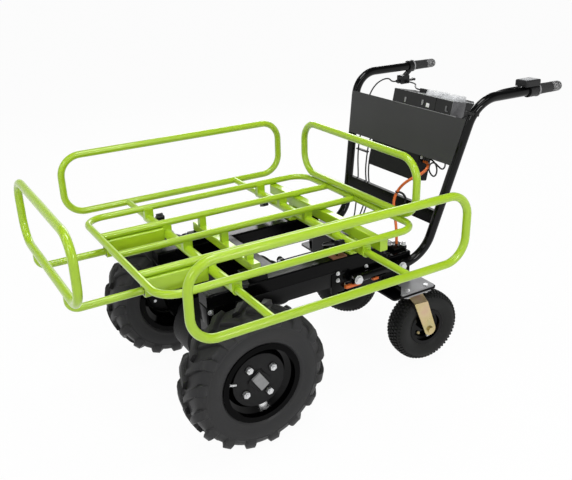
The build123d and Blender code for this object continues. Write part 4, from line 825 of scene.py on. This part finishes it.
# %% Caster carcass
caster_wall = [
    (25.2, 52.3), (26, 56), (27.5, 61), (31, 66), (34.4, 74), (36.4, 83), (36.9, 90), (36.2, 96),
    (34, 102), (30.6, 106.6), (26, 110), (18, 112.6), (8, 113.8),
]
caster_lining = [(8, 108), (20, 105), (28, 96), (30, 84), (26, 68), (19, 56), (17, 52.3)]
outer_wall = both_sides(caster_wall, 114.2)
lining = both_sides(list(reversed(caster_lining)), 108.6)
section = outer_wall + list(reversed(lining)) + outer_wall[:1]
caster_tyre = draw_line("caster_tyre_skin_left", section)
spin_round(72)
close_edit()
print(caster_tyre.name, "carcass faces", len(caster_tyre.data.polygons))

# %% Rows of tread blocks
block_rows = [
    # y, r of the middle, lean outwards, length, width, height, start in pitches
    (6.2, 113.6, 3, 8.2, 9.6, 8.4, 0.0),
    (-6.2, 113.6, -3, 8.2, 9.6, 8.4, 0.5),
    (18.2, 111.4, 12, 8.0, 10.2, 9.6, 0.5),
    (-18.2, 111.4, -12, 8.0, 10.2, 9.6, 0.0),
    (28.8, 105.6, 44, 7.4, 10.0, 9.6, 0.0),
    (-28.8, 105.6, -44, 7.4, 10.0, 9.6, 0.5),
]
blocks_round = 58
block_pitch = 2 * pi / blocks_round
block_taper = (0.78, 0.86, 1)
block_bevel = 0.0011
rows = []
for y, r, lean, length, width, height, start in block_rows:
    row = start_from("block_row", bpy.ops.mesh.primitive_cube_add, size=1)
    bpy.ops.transform.resize(value=(length * mm, width * mm, height * mm))
    pick_faces(row, lambda middle, normal: normal.z > facing_up)
    bpy.ops.transform.resize(value=block_taper)
    bpy.ops.mesh.region_to_loop()
    bpy.ops.mesh.bevel(offset=block_bevel, segments=1, affect="EDGES")
    lean_out = Matrix.Rotation(-radians(lean), 4, "X")
    seat = Matrix.Translation((0, y * mm, r * mm)) @ lean_out
    put(row, Matrix.Rotation(start * block_pitch, 4, "Y") @ seat)
    open_edit()
    repeat_round(blocks_round)
    close_edit()
    rows.append(row)
join_into(caster_tyre, rows)
print(caster_tyre.name, "faces", len(caster_tyre.data.polygons))

# %% Both caster tyres in their places
left_turn = Matrix.Rotation(radians(-5.6), 4, "Z")
right_turn = Matrix.Rotation(radians(-56.4), 4, "Z")
settle(caster_tyre, "caster_wheel_left", caster_rubber, "tread_rubber", sharp=30)
right_place = Matrix.Translation(middle_of("caster_tyre_right")) @ right_turn
right_caster_tyre = copy_of(caster_tyre, "caster_tyre_skin_right", right_place, "caster_wheel_right")
left_place = Matrix.Translation(middle_of("caster_tyre_left")) @ left_turn
caster_tyre.data.transform(left_place)
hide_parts("caster_tyre_left")
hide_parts("caster_tyre_right")
print("caster tyres at", left_place.translation, right_place.translation)

# %% [markdown]
# ## Finishes of the small pieces
# The small pieces bring a few finishes of their own: a grey on the caster plates that paints the
# reflection of the white studio in their black tops, the grey satin of the battery panel, pale and
# smoky plastic, worn grip ends, a brown rubber pad, white nylon and the display's screen. They are
# made in the same way as the finishes that each slot holds.

# %% Finishes that no slot holds
# The caster plates' grey is painted reflection: the white studio seen in their glossy black tops is put
# into the base colour.
reflection_grey_plate = drift_finish("painted_reflection_grey_plate", (34.0, 5.0, 0.6), (0.25, 0.25, 0.26),
                         (0.34, 0.34, 0.35), (0.42, 0.2), metal=0.25)
panel_grey = grained_finish("grey_panel_paint", (7.0, 4.0), (600.0, 2.0), (0.030, 0.030, 0.031),
                            (0.040, 0.040, 0.041), (0.36, 0.1), 0.3, (0.0003, 0.2))
pale = drift_finish("pale_grey_plastic", (120.0, 4.0, 0.6), (0.20, 0.20, 0.21),
                    (0.30, 0.30, 0.30), (0.32, 0.15))
smoke = drift_finish("smoke_grey_plastic", (50.0, 3.0), (0.085, 0.085, 0.09),
                     (0.13, 0.13, 0.135), (0.24, 0.12))

worn_grip = Finish("worn_grip_end")
wear = worn_grip.mask(worn_grip.noise(260.0, 5.0, 0.7), 0.42, 0.62)
worn_grip.set({
    "Base Color": worn_grip.mix(wear, rgba(0.03, 0.03, 0.031), rgba(0.34, 0.34, 0.34)),
    "Roughness": 0.4 + wear * 0.15,
})

pad_rubber = drift_finish("brown_pad_rubber", (160.0, 4.0), (0.13, 0.045, 0.02),
                          (0.20, 0.075, 0.035), (0.6, 0.2))
plug_nylon = drift_finish("white_plug_nylon", (90.0, 3.0), (0.70, 0.70, 0.69),
                          (0.82, 0.82, 0.81), (0.38, 0.1))
screen = drift_finish("display_screen", (70.0, 3.0), (0.30, 0.31, 0.32),
                      (0.38, 0.39, 0.40), (0.16, 0.1))
# The caster plates take the grey of the painted reflection.
nodes["caster_mounts"].material_slots[0].material = reflection_grey_plate.material
nodes["panel"].material_slots[0].material = panel_grey.material
print("extra finishes", reflection_grey_plate.material.name, panel_grey.material.name)

# %% [markdown]
# ## Small shapes that come back
# Most of the hardware is one of three shapes: a block with broken edges, a ring that is spun
# from its section, and a bolt with its washer. Each is modelled once here, at the origin and
# along z, and then moved to its place with a matrix.

# %% Blocks, rings and bolts
def aim(place, direction):
    """A matrix that takes the z direction to another direction at a place."""
    turn = Vector(direction).to_track_quat("Z", "Y").to_matrix().to_4x4()
    return Matrix.Translation(place) @ turn


def block(name, low, high, edge, place=Matrix()):
    """A box between two corners with bevelled edges, moved by a matrix."""
    size = [top - bottom for bottom, top in zip(low, high)]
    middle = [(top + bottom) / 2 for bottom, top in zip(low, high)]
    piece = start_from(name, bpy.ops.mesh.primitive_cube_add, size=1)
    bpy.ops.transform.resize(value=size)
    bpy.ops.transform.translate(value=middle)
    bpy.ops.mesh.bevel(offset=edge, segments=2, affect="EDGES")
    return put(piece, place)


def ring(name, section, place, steps=32):
    """A closed section of (radius, height) points spun round z and moved by a matrix."""
    spots = [(radius, 0, height) for radius, height in section]
    piece = draw_line(name, spots + spots[:1])
    spin_round(steps, axis=(0, 0, 1))
    return put(piece, place)


def bolt(name, place, direction, size=1.0):
    """A washer, a hexagon head with a chamfer, and the end of the thread."""
    piece = start_from(name, bpy.ops.mesh.primitive_cylinder_add,
                       vertices=24, radius=0.0088, depth=0.0016, location=(0, 0, 0.0008))
    bpy.ops.mesh.bevel(offset=0.0003, segments=1, affect="EDGES")
    bpy.ops.mesh.select_all(action="DESELECT")
    bpy.ops.mesh.primitive_cylinder_add(vertices=6, radius=0.0064, depth=0.005,
                                        location=(0, 0, 0.0040))
    pick_faces(piece, lambda middle, normal: normal.z > facing_up and middle.z > 0.006)
    bpy.ops.mesh.inset(thickness=0.0011)
    bpy.ops.transform.translate(value=(0, 0, 0.0007))
    bpy.ops.mesh.select_all(action="DESELECT")
    bpy.ops.mesh.primitive_cylinder_add(vertices=16, radius=0.0034, depth=0.003,
                                        location=(0, 0, 0.0082))
    return put(piece, aim(place, direction) @ Matrix.Scale(size, 4))


def side_block(side, name, x_span, y_span, z_span, edge):
    """A block on the left or, with side -1, the right; its y span is that of the left."""
    y_low, y_high = sorted(side * y for y in y_span)
    return block(name, (x_span[0], y_low, z_span[0]), (x_span[1], y_high, z_span[1]), edge)


def one_piece(name, parts, body, finish, slot=None):
    """Join several parts into one piece and settle it."""
    piece = parts[0]
    piece.name = name
    join_into(piece, parts[1:])
    return settle(piece, body, finish, slot)


# %% [markdown]
# ## Hubs
# On the face of each drive wheel a pale block sits over the axle end. Thin black strips beside it
# paint the shade in the two slot openings of the hub plate, a black ring round every nut paints
# the shade of its pressed recess, and the valve looks out of the well.
# The left side is modelled and mirrored, because the two wheels are a pair.

# %% Hub block of the left wheel
hub_angle = -57
hub_place = Matrix.Translation((left_hub.x, 0, left_hub.z))
hub_turn = hub_place @ Matrix.Rotation(radians(hub_angle), 4, "Y")
hub_low = (-0.0245, 0.3190, -0.0140)
hub_high = (0.0245, 0.3310, 0.0140)
hub_block = block("hub_block_left", hub_low, hub_high, 0.0012, hub_turn)
settle(hub_block, "drive_wheel_left", pale)
print(hub_block.name, "turned by", hub_angle)

# %% Painted shade of the hub slot openings and round the nuts
# Each black strip is painted shade: it stands for the dark gap of a slot in the hub plate.
slot_offset = 0.0237
slot_half = 0.0020
shade_marks = []
for side in (-1, 1):
    low = (-0.0250, 0.3192, side * slot_offset - slot_half)
    high = (0.0250, 0.3207, side * slot_offset + slot_half)
    shade_marks.append(block("hub_slot_shade", low, high, 0.0006, hub_turn))
# The black ring round each nut is painted shade of the pressed recess that the nut sits in.
nut_circle = 0.05
nut_seat = 0.3196
first_nut = 55
nut_shade_ring = [(0.0098, 0), (0.0136, 0), (0.0132, 0.0010), (0.0102, 0.0010)]
for quarter in range(4):
    angle = radians(first_nut + 90 * quarter)
    spot = (left_hub.x + nut_circle * cos(angle), nut_seat, left_hub.z + nut_circle * sin(angle))
    shade_marks.append(ring("nut_shade_ring", nut_shade_ring, aim(spot, (0, 1, 0))))
hub_shade_marks = one_piece("hub_slots_left", shade_marks, "drive_wheel_left", gloss, "wheel_paint")
print(hub_shade_marks.name, "of", len(shade_marks), "parts")

# %% Valve, and copies for the right wheel
well = Vector((left_hub.x + 0.0930, 0.3185, left_hub.z + 0.0164))
stem_end = Vector((left_hub.x + 0.0665, 0.3200, left_hub.z + 0.0090))
valve_section = [
    (0.0001, 0), (0.0052, 0), (0.0052, 0.006), (0.0040, 0.0085), (0.0036, 0.0150), (0.0044, 0.0155),
    (0.0044, 0.0185), (0.0034, 0.0190), (0.0034, 0.0262), (0.0026, 0.0275), (0.0001, 0.0275),
]
valve = ring("tyre_valve_left", valve_section, aim(well, stem_end - well), steps=20)
settle(valve, "drive_wheel_left", zinc, "bright_zinc")
for piece in (hub_block, hub_shade_marks, valve):
    copy_of(piece, piece.name.replace("left", "right"), to_right, "drive_wheel_right")
print("hub pieces on both wheels")

# %% Bolts that hold the halves of each caster rim
bolt_circle = 0.0325
bolt_seat = 0.0015
first_bolt = 30
rim_bolts = []
for side in (1, -1):
    for quarter in range(4):
        angle = radians(first_bolt + 90 * quarter)
        spot = (bolt_circle * cos(angle), side * bolt_seat, bolt_circle * sin(angle))
        rim_bolts.append(bolt("rim_bolt", spot, (0, side, 0), size=0.9))
caster_bolts = one_piece("caster_rim_bolts_left", rim_bolts, "caster_wheel_left",
                         passivate, "yellow_zinc")
copy_of(caster_bolts, "caster_rim_bolts_right", right_place, "caster_wheel_right")
caster_bolts.data.transform(left_place)
print("bolts in both caster rims")

# %% [markdown]
# ## Chassis hardware
# Bolts, washers, plates, skirts, a pad and lead sleeves that a maker would look for along the
# beams, the handle feet and the rear box, and the weld beads of the rod receivers. A table of
# places and a loop make both sides alike, and all of it rides with the frame.

# %% Washers and bolts along the chassis
washer = [(0.0068, 0), (0.0138, 0), (0.0142, 0.0008), (0.0138, 0.0022), (0.0072, 0.0026)]
foot_washers = [(-0.060, 0.2178, 0.343), (-0.224, 0.2178, 0.343)]
beam_bolts = [(-0.003, 0.1935, 0.3690), (-0.003, 0.1935, 0.3470), (-0.108, 0.1900, 0.3640)]
nose_bolts = [(0.405, 0.1932, 0.3660), (0.386, 0.1932, 0.3480)]
terminal_bolts = [(-0.2420, 0.1310, 0.3800), (-0.2780, 0.1570, 0.3800)]
silver = []
for side in (-1, 1):
    outwards = (0, side, 0)
    for x, y, z in foot_washers:
        silver.append(ring("foot_washer", washer, aim((x, side * y, z), outwards)))
    for x, y, z in beam_bolts:
        silver.append(bolt("beam_bolt", (x, side * y, z), outwards, size=0.72))
    for x, y, z in nose_bolts:
        silver.append(bolt("nose_bolt", (x, side * y, z), outwards, size=0.9))
for spot in terminal_bolts:
    silver.append(bolt("terminal_bolt", spot, (0, 0, 1), size=1.15))
chassis_bolts = one_piece("chassis_bolts", silver, "frame", zinc, "bright_zinc")
print(chassis_bolts.name, "faces", len(chassis_bolts.data.polygons))

# %% Bracket plates, skirts and the terminal base
side_plates = [
    # name, x span, y span on the left, z span, bevel
    ("beam_bracket", (-0.028, 0.019), (0.1898, 0.1935), (0.3070, 0.3690), 0.0012),
    ("nose_plate", (0.335, 0.4135), (0.1898, 0.1932), (0.3290, 0.3780), 0.0010),
    ("nose_cover", (0.4125, 0.4150), (0.1424, 0.1898), (0.3290, 0.3780), 0.0008),
    ("caster_flange", (-0.1965, -0.1935), (0.1895, 0.2505), (0.2640, 0.2940), 0.0012),
]
skirt = ("beam_skirt", (-0.020, 0.330), (0.1899, 0.1912), (0.3290, 0.3740), 0.0006)
dark = []
for side in (-1, 1):
    for plate in side_plates:
        dark.append(side_block(side, *plate))
dark.append(block("cross_skirt", (0.2350, -0.1418, 0.3320), (0.2383, 0.1418, 0.3840), 0.0010))
dark.append(block("terminal_base", (-0.283, 0.120, 0.3695), (-0.232, 0.168, 0.3800), 0.0016))
chassis_brackets = one_piece("chassis_brackets", dark, "frame", satin, "black_paint")
skirts = [side_block(side, *skirt) for side in (-1, 1)]
beam_skirts = one_piece("beam_skirts", skirts, "frame", shell)
print(chassis_brackets.name, "and", beam_skirts.name)

# %% Pad and lead sleeves
pad = block("beam_pad", (-0.039, 0.1440, 0.4128), (0.010, 0.1890, 0.4175), 0.0012)
settle(pad, "frame", pad_rubber)
sleeves = [
    block("orange_sleeve", (-0.079, 0.1935, 0.3165), (-0.024, 0.2065, 0.3260), 0.0030),
    block("orange_sleeve_end", (-0.146, 0.1935, 0.3170), (-0.124, 0.2065, 0.3255), 0.0030),
]
lead_sleeves = one_piece("lead_sleeves", sleeves, "frame", orange, "cable_orange")
print(pad.name, "and", lead_sleeves.name)

# %% Inner wire of the brake
wire_radius = 0.0019
wire_length = 0.178
wire_section = [(0.0001, 0), (wire_radius, 0), (wire_radius, wire_length), (0.0001, wire_length)]
wire = ring("brake_inner_wire", wire_section, aim(chassis_route[-1], (1, 0, 0)), steps=12)
settle(wire, "frame", sheath, "cable_black")
wire_nut = bolt("brake_wire_nut", (0.1462, 0.1173, 0.4197), (1, 0, 0), size=0.7)
settle(wire_nut, "frame", zinc, "bright_zinc")
print(wire.name, "and", wire_nut.name)

# %% Weld beads round the rod receivers
bead_y = 0.3008
receiver_z = 0.470
beads = []
for x in (0.376, -0.024):
    for side in (-1, 1):
        bead = start_from("weld_bead", bpy.ops.mesh.primitive_torus_add, major_segments=40,
                          minor_segments=6, major_radius=0.0125, minor_radius=0.0020)
        bpy.ops.transform.vertex_random(offset=0.0004, uniform=0.4, normal=0.6, seed=3)
        beads.append(put(bead, aim((x, side * bead_y, receiver_z), (0, side, 0))))
receiver_beads = one_piece("receiver_beads", beads, "frame", lime, "green_paint")
print(receiver_beads.name, len(beads))

# %% [markdown]
# ## Handle and battery
# The handle leans back, so its pieces are drawn in the handle's own frame: forward, across and
# up the lean. One matrix takes them to their place on the battery box and the uprights.

# %% Frame of the handle
handle_back = 102
handle_rise = 490
handle_lean = atan2(handle_back, handle_rise)
handle_frame = Matrix((
    (cos(handle_lean), 0, -sin(handle_lean), -0.317),
    (0, 1, 0, 0),
    (sin(handle_lean), 0, cos(handle_lean), 0.343),
    (0, 0, 0, 1),
))
print("handle leans by", round(handle_lean, 4))

# %% Face of the battery box
box_skin = 0.0138
box_front = 0.0140


def on_box(name, y, up, width, height, lift, edge):
    """A small raised block on the front of the battery box."""
    low = (box_skin, y - width / 2, up - height / 2)
    high = (box_front + lift, y + width / 2, up + height / 2)
    return block(name, low, high, edge, handle_frame)


catches = [
    on_box("box_catch", 0.002, 0.455, 0.006, 0.016, 0.0022, 0.0008),
    on_box("box_catch", 0.080, 0.459, 0.006, 0.016, 0.0022, 0.0008),
]
one_piece("box_catches", catches, "frame", pale)
corner_latch = [
    on_box("box_latch", 0.183, 0.459, 0.005, 0.014, 0.0026, 0.0008),
    on_box("box_latch_foot", 0.187, 0.451, 0.009, 0.004, 0.0022, 0.0006),
]
one_piece("box_latch", corner_latch, "frame", smoke)
settle(on_box("box_blank_plate", 0.104, 0.4545, 0.013, 0.012, 0.0012, 0.0004), "frame", plug_nylon)
settle(on_box("box_seam", 0.136, 0.4625, 0.0016, 0.036, 0.0006, 0.0002), "frame", gloss)
for name, low, high, edge, finish in (
    ("box_end_side", (-0.040, 0.2035, 0.430), (0.0135, 0.2052, 0.4815), 0.0005, smoke),
    # The pale strip along the panel's top edge is a painted highlight, the bright line where light
    # catches that edge.
    ("panel_edge", (0.0139, -0.0640, 0.4408), (0.0166, 0.2300, 0.4422), 0.0003, pale),
):
    settle(block(name, low, high, edge, handle_frame), "frame", finish)
print("battery box face done")

# %% Clamp on the upright and plugs of the controller
clamp_section = [(0.0146, 0), (0.0172, 0.0006), (0.0172, 0.0074), (0.0146, 0.008)]
upright_spot = handle_frame @ Vector((0, 0.2705, 0.457))
upright_way = handle_frame.to_3x3() @ Vector((0, 0.045, 1))
clamp = [
    ring("clamp_ring", clamp_section, aim(upright_spot, upright_way)),
    block("clamp_tail", (-0.006, 0.2850, 0.456), (0.004, 0.2960, 0.466), 0.0014, handle_frame),
]
one_piece("upright_clamp", clamp, "frame", moulded, "black_plastic")
plugs = [
    block("plug_body", (-0.020, 0.1115, 0.2900), (0.004, 0.1290, 0.3140), 0.0016, handle_frame),
    block("plug_tail", (-0.012, 0.1280, 0.2930), (0.001, 0.1370, 0.3040), 0.0014, handle_frame),
]
one_piece("plug_bodies", plugs, "frame", moulded, "black_plastic")
white_plug = block("white_plug", (0.0035, 0.1135, 0.2920), (0.0088, 0.1195, 0.3010), 0.0010,
                   handle_frame)
settle(white_plug, "frame", plug_nylon)
print("clamp at", upright_spot)

# %% Ties on the leads
strap = block("cable_strap", (-0.3885, -0.2262, 0.5828), (-0.3765, -0.1660, 0.5876), 0.0014)
settle(strap, "frame", moulded, "black_plastic")
tie_height = 0.522
spots = route_spots(motor_lead)
at = min(range(1, len(spots) - 1), key=lambda spot: abs(spots[spot].z - tie_height))
tie_section = [(0.0044, -0.0022), (0.0062, -0.0016), (0.0062, 0.0016), (0.0044, 0.0022)]
tie = ring("lead_tie", tie_section, aim(spots[at], spots[at + 1] - spots[at - 1]), steps=24)
tail = start_from("lead_tie_tail", bpy.ops.mesh.primitive_circle_add,
                  vertices=10, radius=0.0036, rotation=(0, pi / 2, 0))
bpy.ops.mesh.spin(steps=12, angle=radians(-115), center=(0, 0, -0.028), axis=(0, 1, 0))
bpy.ops.mesh.select_all(action="SELECT")
bpy.ops.mesh.fill_holes(sides=0)
close_up()
tail_x = -0.853
tail_y = 0.522
tail_turn = Matrix(((tail_x, -tail_y, 0), (tail_y, tail_x, 0), (0, 0, 1))).to_4x4()
put(tail, Matrix.Translation(spots[at]) @ tail_turn)
one_piece("lead_tie", [tie, tail], "frame", moulded, "black_plastic")
print("tie at", spots[at])

# %% Grip rings and worn grip ends
grip_y = 0.279
grip_z = 0.833
collar_x = -0.6585
cuff_x = -0.7240
collar_section = [
    (0.0150, 0), (0.0200, 0), (0.0205, 0.0010), (0.0205, 0.0042), (0.0200, 0.0052), (0.0150, 0.0052),
]
cuff_section = [
    (0.0001, 0.0386), (0.0124, 0.0385), (0.0133, 0.0374), (0.0151, 0.0318), (0.0156, 0.0006),
    (0.0152, 0.0000), (0.0146, 0.0010), (0.0141, 0.0310), (0.0116, 0.0376), (0.0001, 0.0377),
]
for name, side, grip_body in (("left", 1, "throttle"), ("right", -1, "frame")):
    collar_place = aim((collar_x, side * grip_y, grip_z), (-1, 0, 0))
    collar = ring("grip_collar_" + name, collar_section, collar_place, steps=40)
    settle(collar, grip_body, pale)
    cuff_place = aim((cuff_x, side * grip_y, grip_z), (-1, 0, 0))
    cuff = ring("grip_end_" + name, cuff_section, cuff_place, steps=40)
    settle(cuff, grip_body, worn_grip)
lens = block("display_lens", (-0.6475, 0.2630, 0.8672), (-0.6010, 0.2950, 0.8684), 0.0004)
settle(lens, "frame", screen)
print("grips and display done")

# %% [markdown]
# ## Floor and light
# A studio shot on white: a pale floor that keeps the soft shadow, a white backdrop, one soft
# light above, one in front and one behind, and three narrow strips that draw the bright lines
# along the tubes and in the rims. Floor and sky show white to the camera. In reflections the
# floor is white and the sky fades from bright at the horizon to dim overhead, so that black
# paint stays dark.

# %% Floor
floor_size = 120
floor_drop = 0.0005
bpy.ops.object.select_all(action="DESELECT")
bpy.ops.mesh.primitive_plane_add(size=floor_size, location=(0, 0, -floor_drop))
floor = bpy.context.object
floor.name = "studio_floor"


def seen_by(graph, *kinds):
    """One for rays of the named kinds and zero for all others."""
    total = graph.node("ShaderNodeLightPath", output=kinds[0])
    for kind in kinds[1:]:
        ray = graph.node("ShaderNodeLightPath", output=kind)
        total = total.work("MAXIMUM", total, ray)
    return total


paper = bpy.data.materials.new("white_paper_floor")
paper.use_nodes = True
sheet = Graph(paper.node_tree)
sheet.tree.nodes.clear()
paper_matt = sheet.node("ShaderNodeBsdfDiffuse", {}, {"Color": rgba(0.86, 0.86, 0.86)})
paper_white = sheet.node("ShaderNodeEmission", {}, {"Strength": 1.0})
views = seen_by(sheet, "Is Camera Ray", "Is Glossy Ray", "Is Transmission Ray")
blend = sheet.node("ShaderNodeMixShader", {}, {0: views * 0.96, 1: paper_matt, 2: paper_white})
paper_out = sheet.tree.nodes.new("ShaderNodeOutputMaterial")
sheet.feed(paper_out.inputs["Surface"], blend)
floor.data.materials.append(paper)
print(floor.name, "with", paper.name)

# %% Sky
world = bpy.data.worlds.new("studio_world")
bpy.context.scene.world = world
world.use_nodes = True
sky = Graph(world.node_tree)
sky.tree.nodes.clear()
way = sky.node("ShaderNodeTexCoord", output="Generated")
height = sky.node("ShaderNodeSeparateXYZ", {}, {0: way}, "Z")
overhead = sky.node("ShaderNodeMapRange", {"interpolation_type": "SMOOTHSTEP"}, {
    "Value": height, "From Min": 0.12, "From Max": 0.55, "To Min": 0.85, "To Max": 0.12})
mirrored = sky.node("ShaderNodeMix", {}, {
    "Factor": seen_by(sky, "Is Glossy Ray"), "A": 0.32, "B": overhead})
level = sky.node("ShaderNodeMix", {}, {
    "Factor": seen_by(sky, "Is Camera Ray", "Is Transmission Ray"), "A": mirrored, "B": 1.0})
back = sky.node("ShaderNodeBackground", {}, {"Color": rgba(1, 1, 1), "Strength": level})
sky_out = sky.tree.nodes.new("ShaderNodeOutputWorld")
sky.feed(sky_out.inputs["Surface"], back)
print("sky", world.name)

# %% Lamps
def softbox(name, place, target, width, height, power):
    """A soft light at a place, turned to a target."""
    lamp_data = bpy.data.lights.new(name, "AREA")
    lamp_data.shape = "RECTANGLE"
    lamp_data.size = width
    lamp_data.size_y = height
    lamp_data.energy = power
    lamp = bpy.data.objects.new(name, lamp_data)
    bpy.context.scene.collection.objects.link(lamp)
    lamp.location = place
    lamp.rotation_euler = (Vector(target) - Vector(place)).to_track_quat("-Z", "Y").to_euler()


softbox("top_light", (0.0, 0.1, 3.2), (0, 0, 0.4), 1.0, 1.0, 32)
softbox("front_light", (2.6, 1.6, 2.0), (0, 0, 0.4), 0.9, 0.9, 20)
softbox("side_light", (-0.36, 2.87, 1.48), (0.2, 0, 0.3), 0.9, 0.12, 22)
softbox("back_light", (-1.7, -2.8, 1.9), (0.1, 0, 0.4), 2.0, 0.8, 34)
softbox("long_strip", (0.3, 1.6, 2.6), (0, 0, 0.4), 3.0, 0.22, 14)
softbox("end_strip", (2.4, -0.4, 2.2), (0, 0, 0.4), 0.22, 2.4, 9)
print("lamps", [light.name for light in bpy.data.lights])
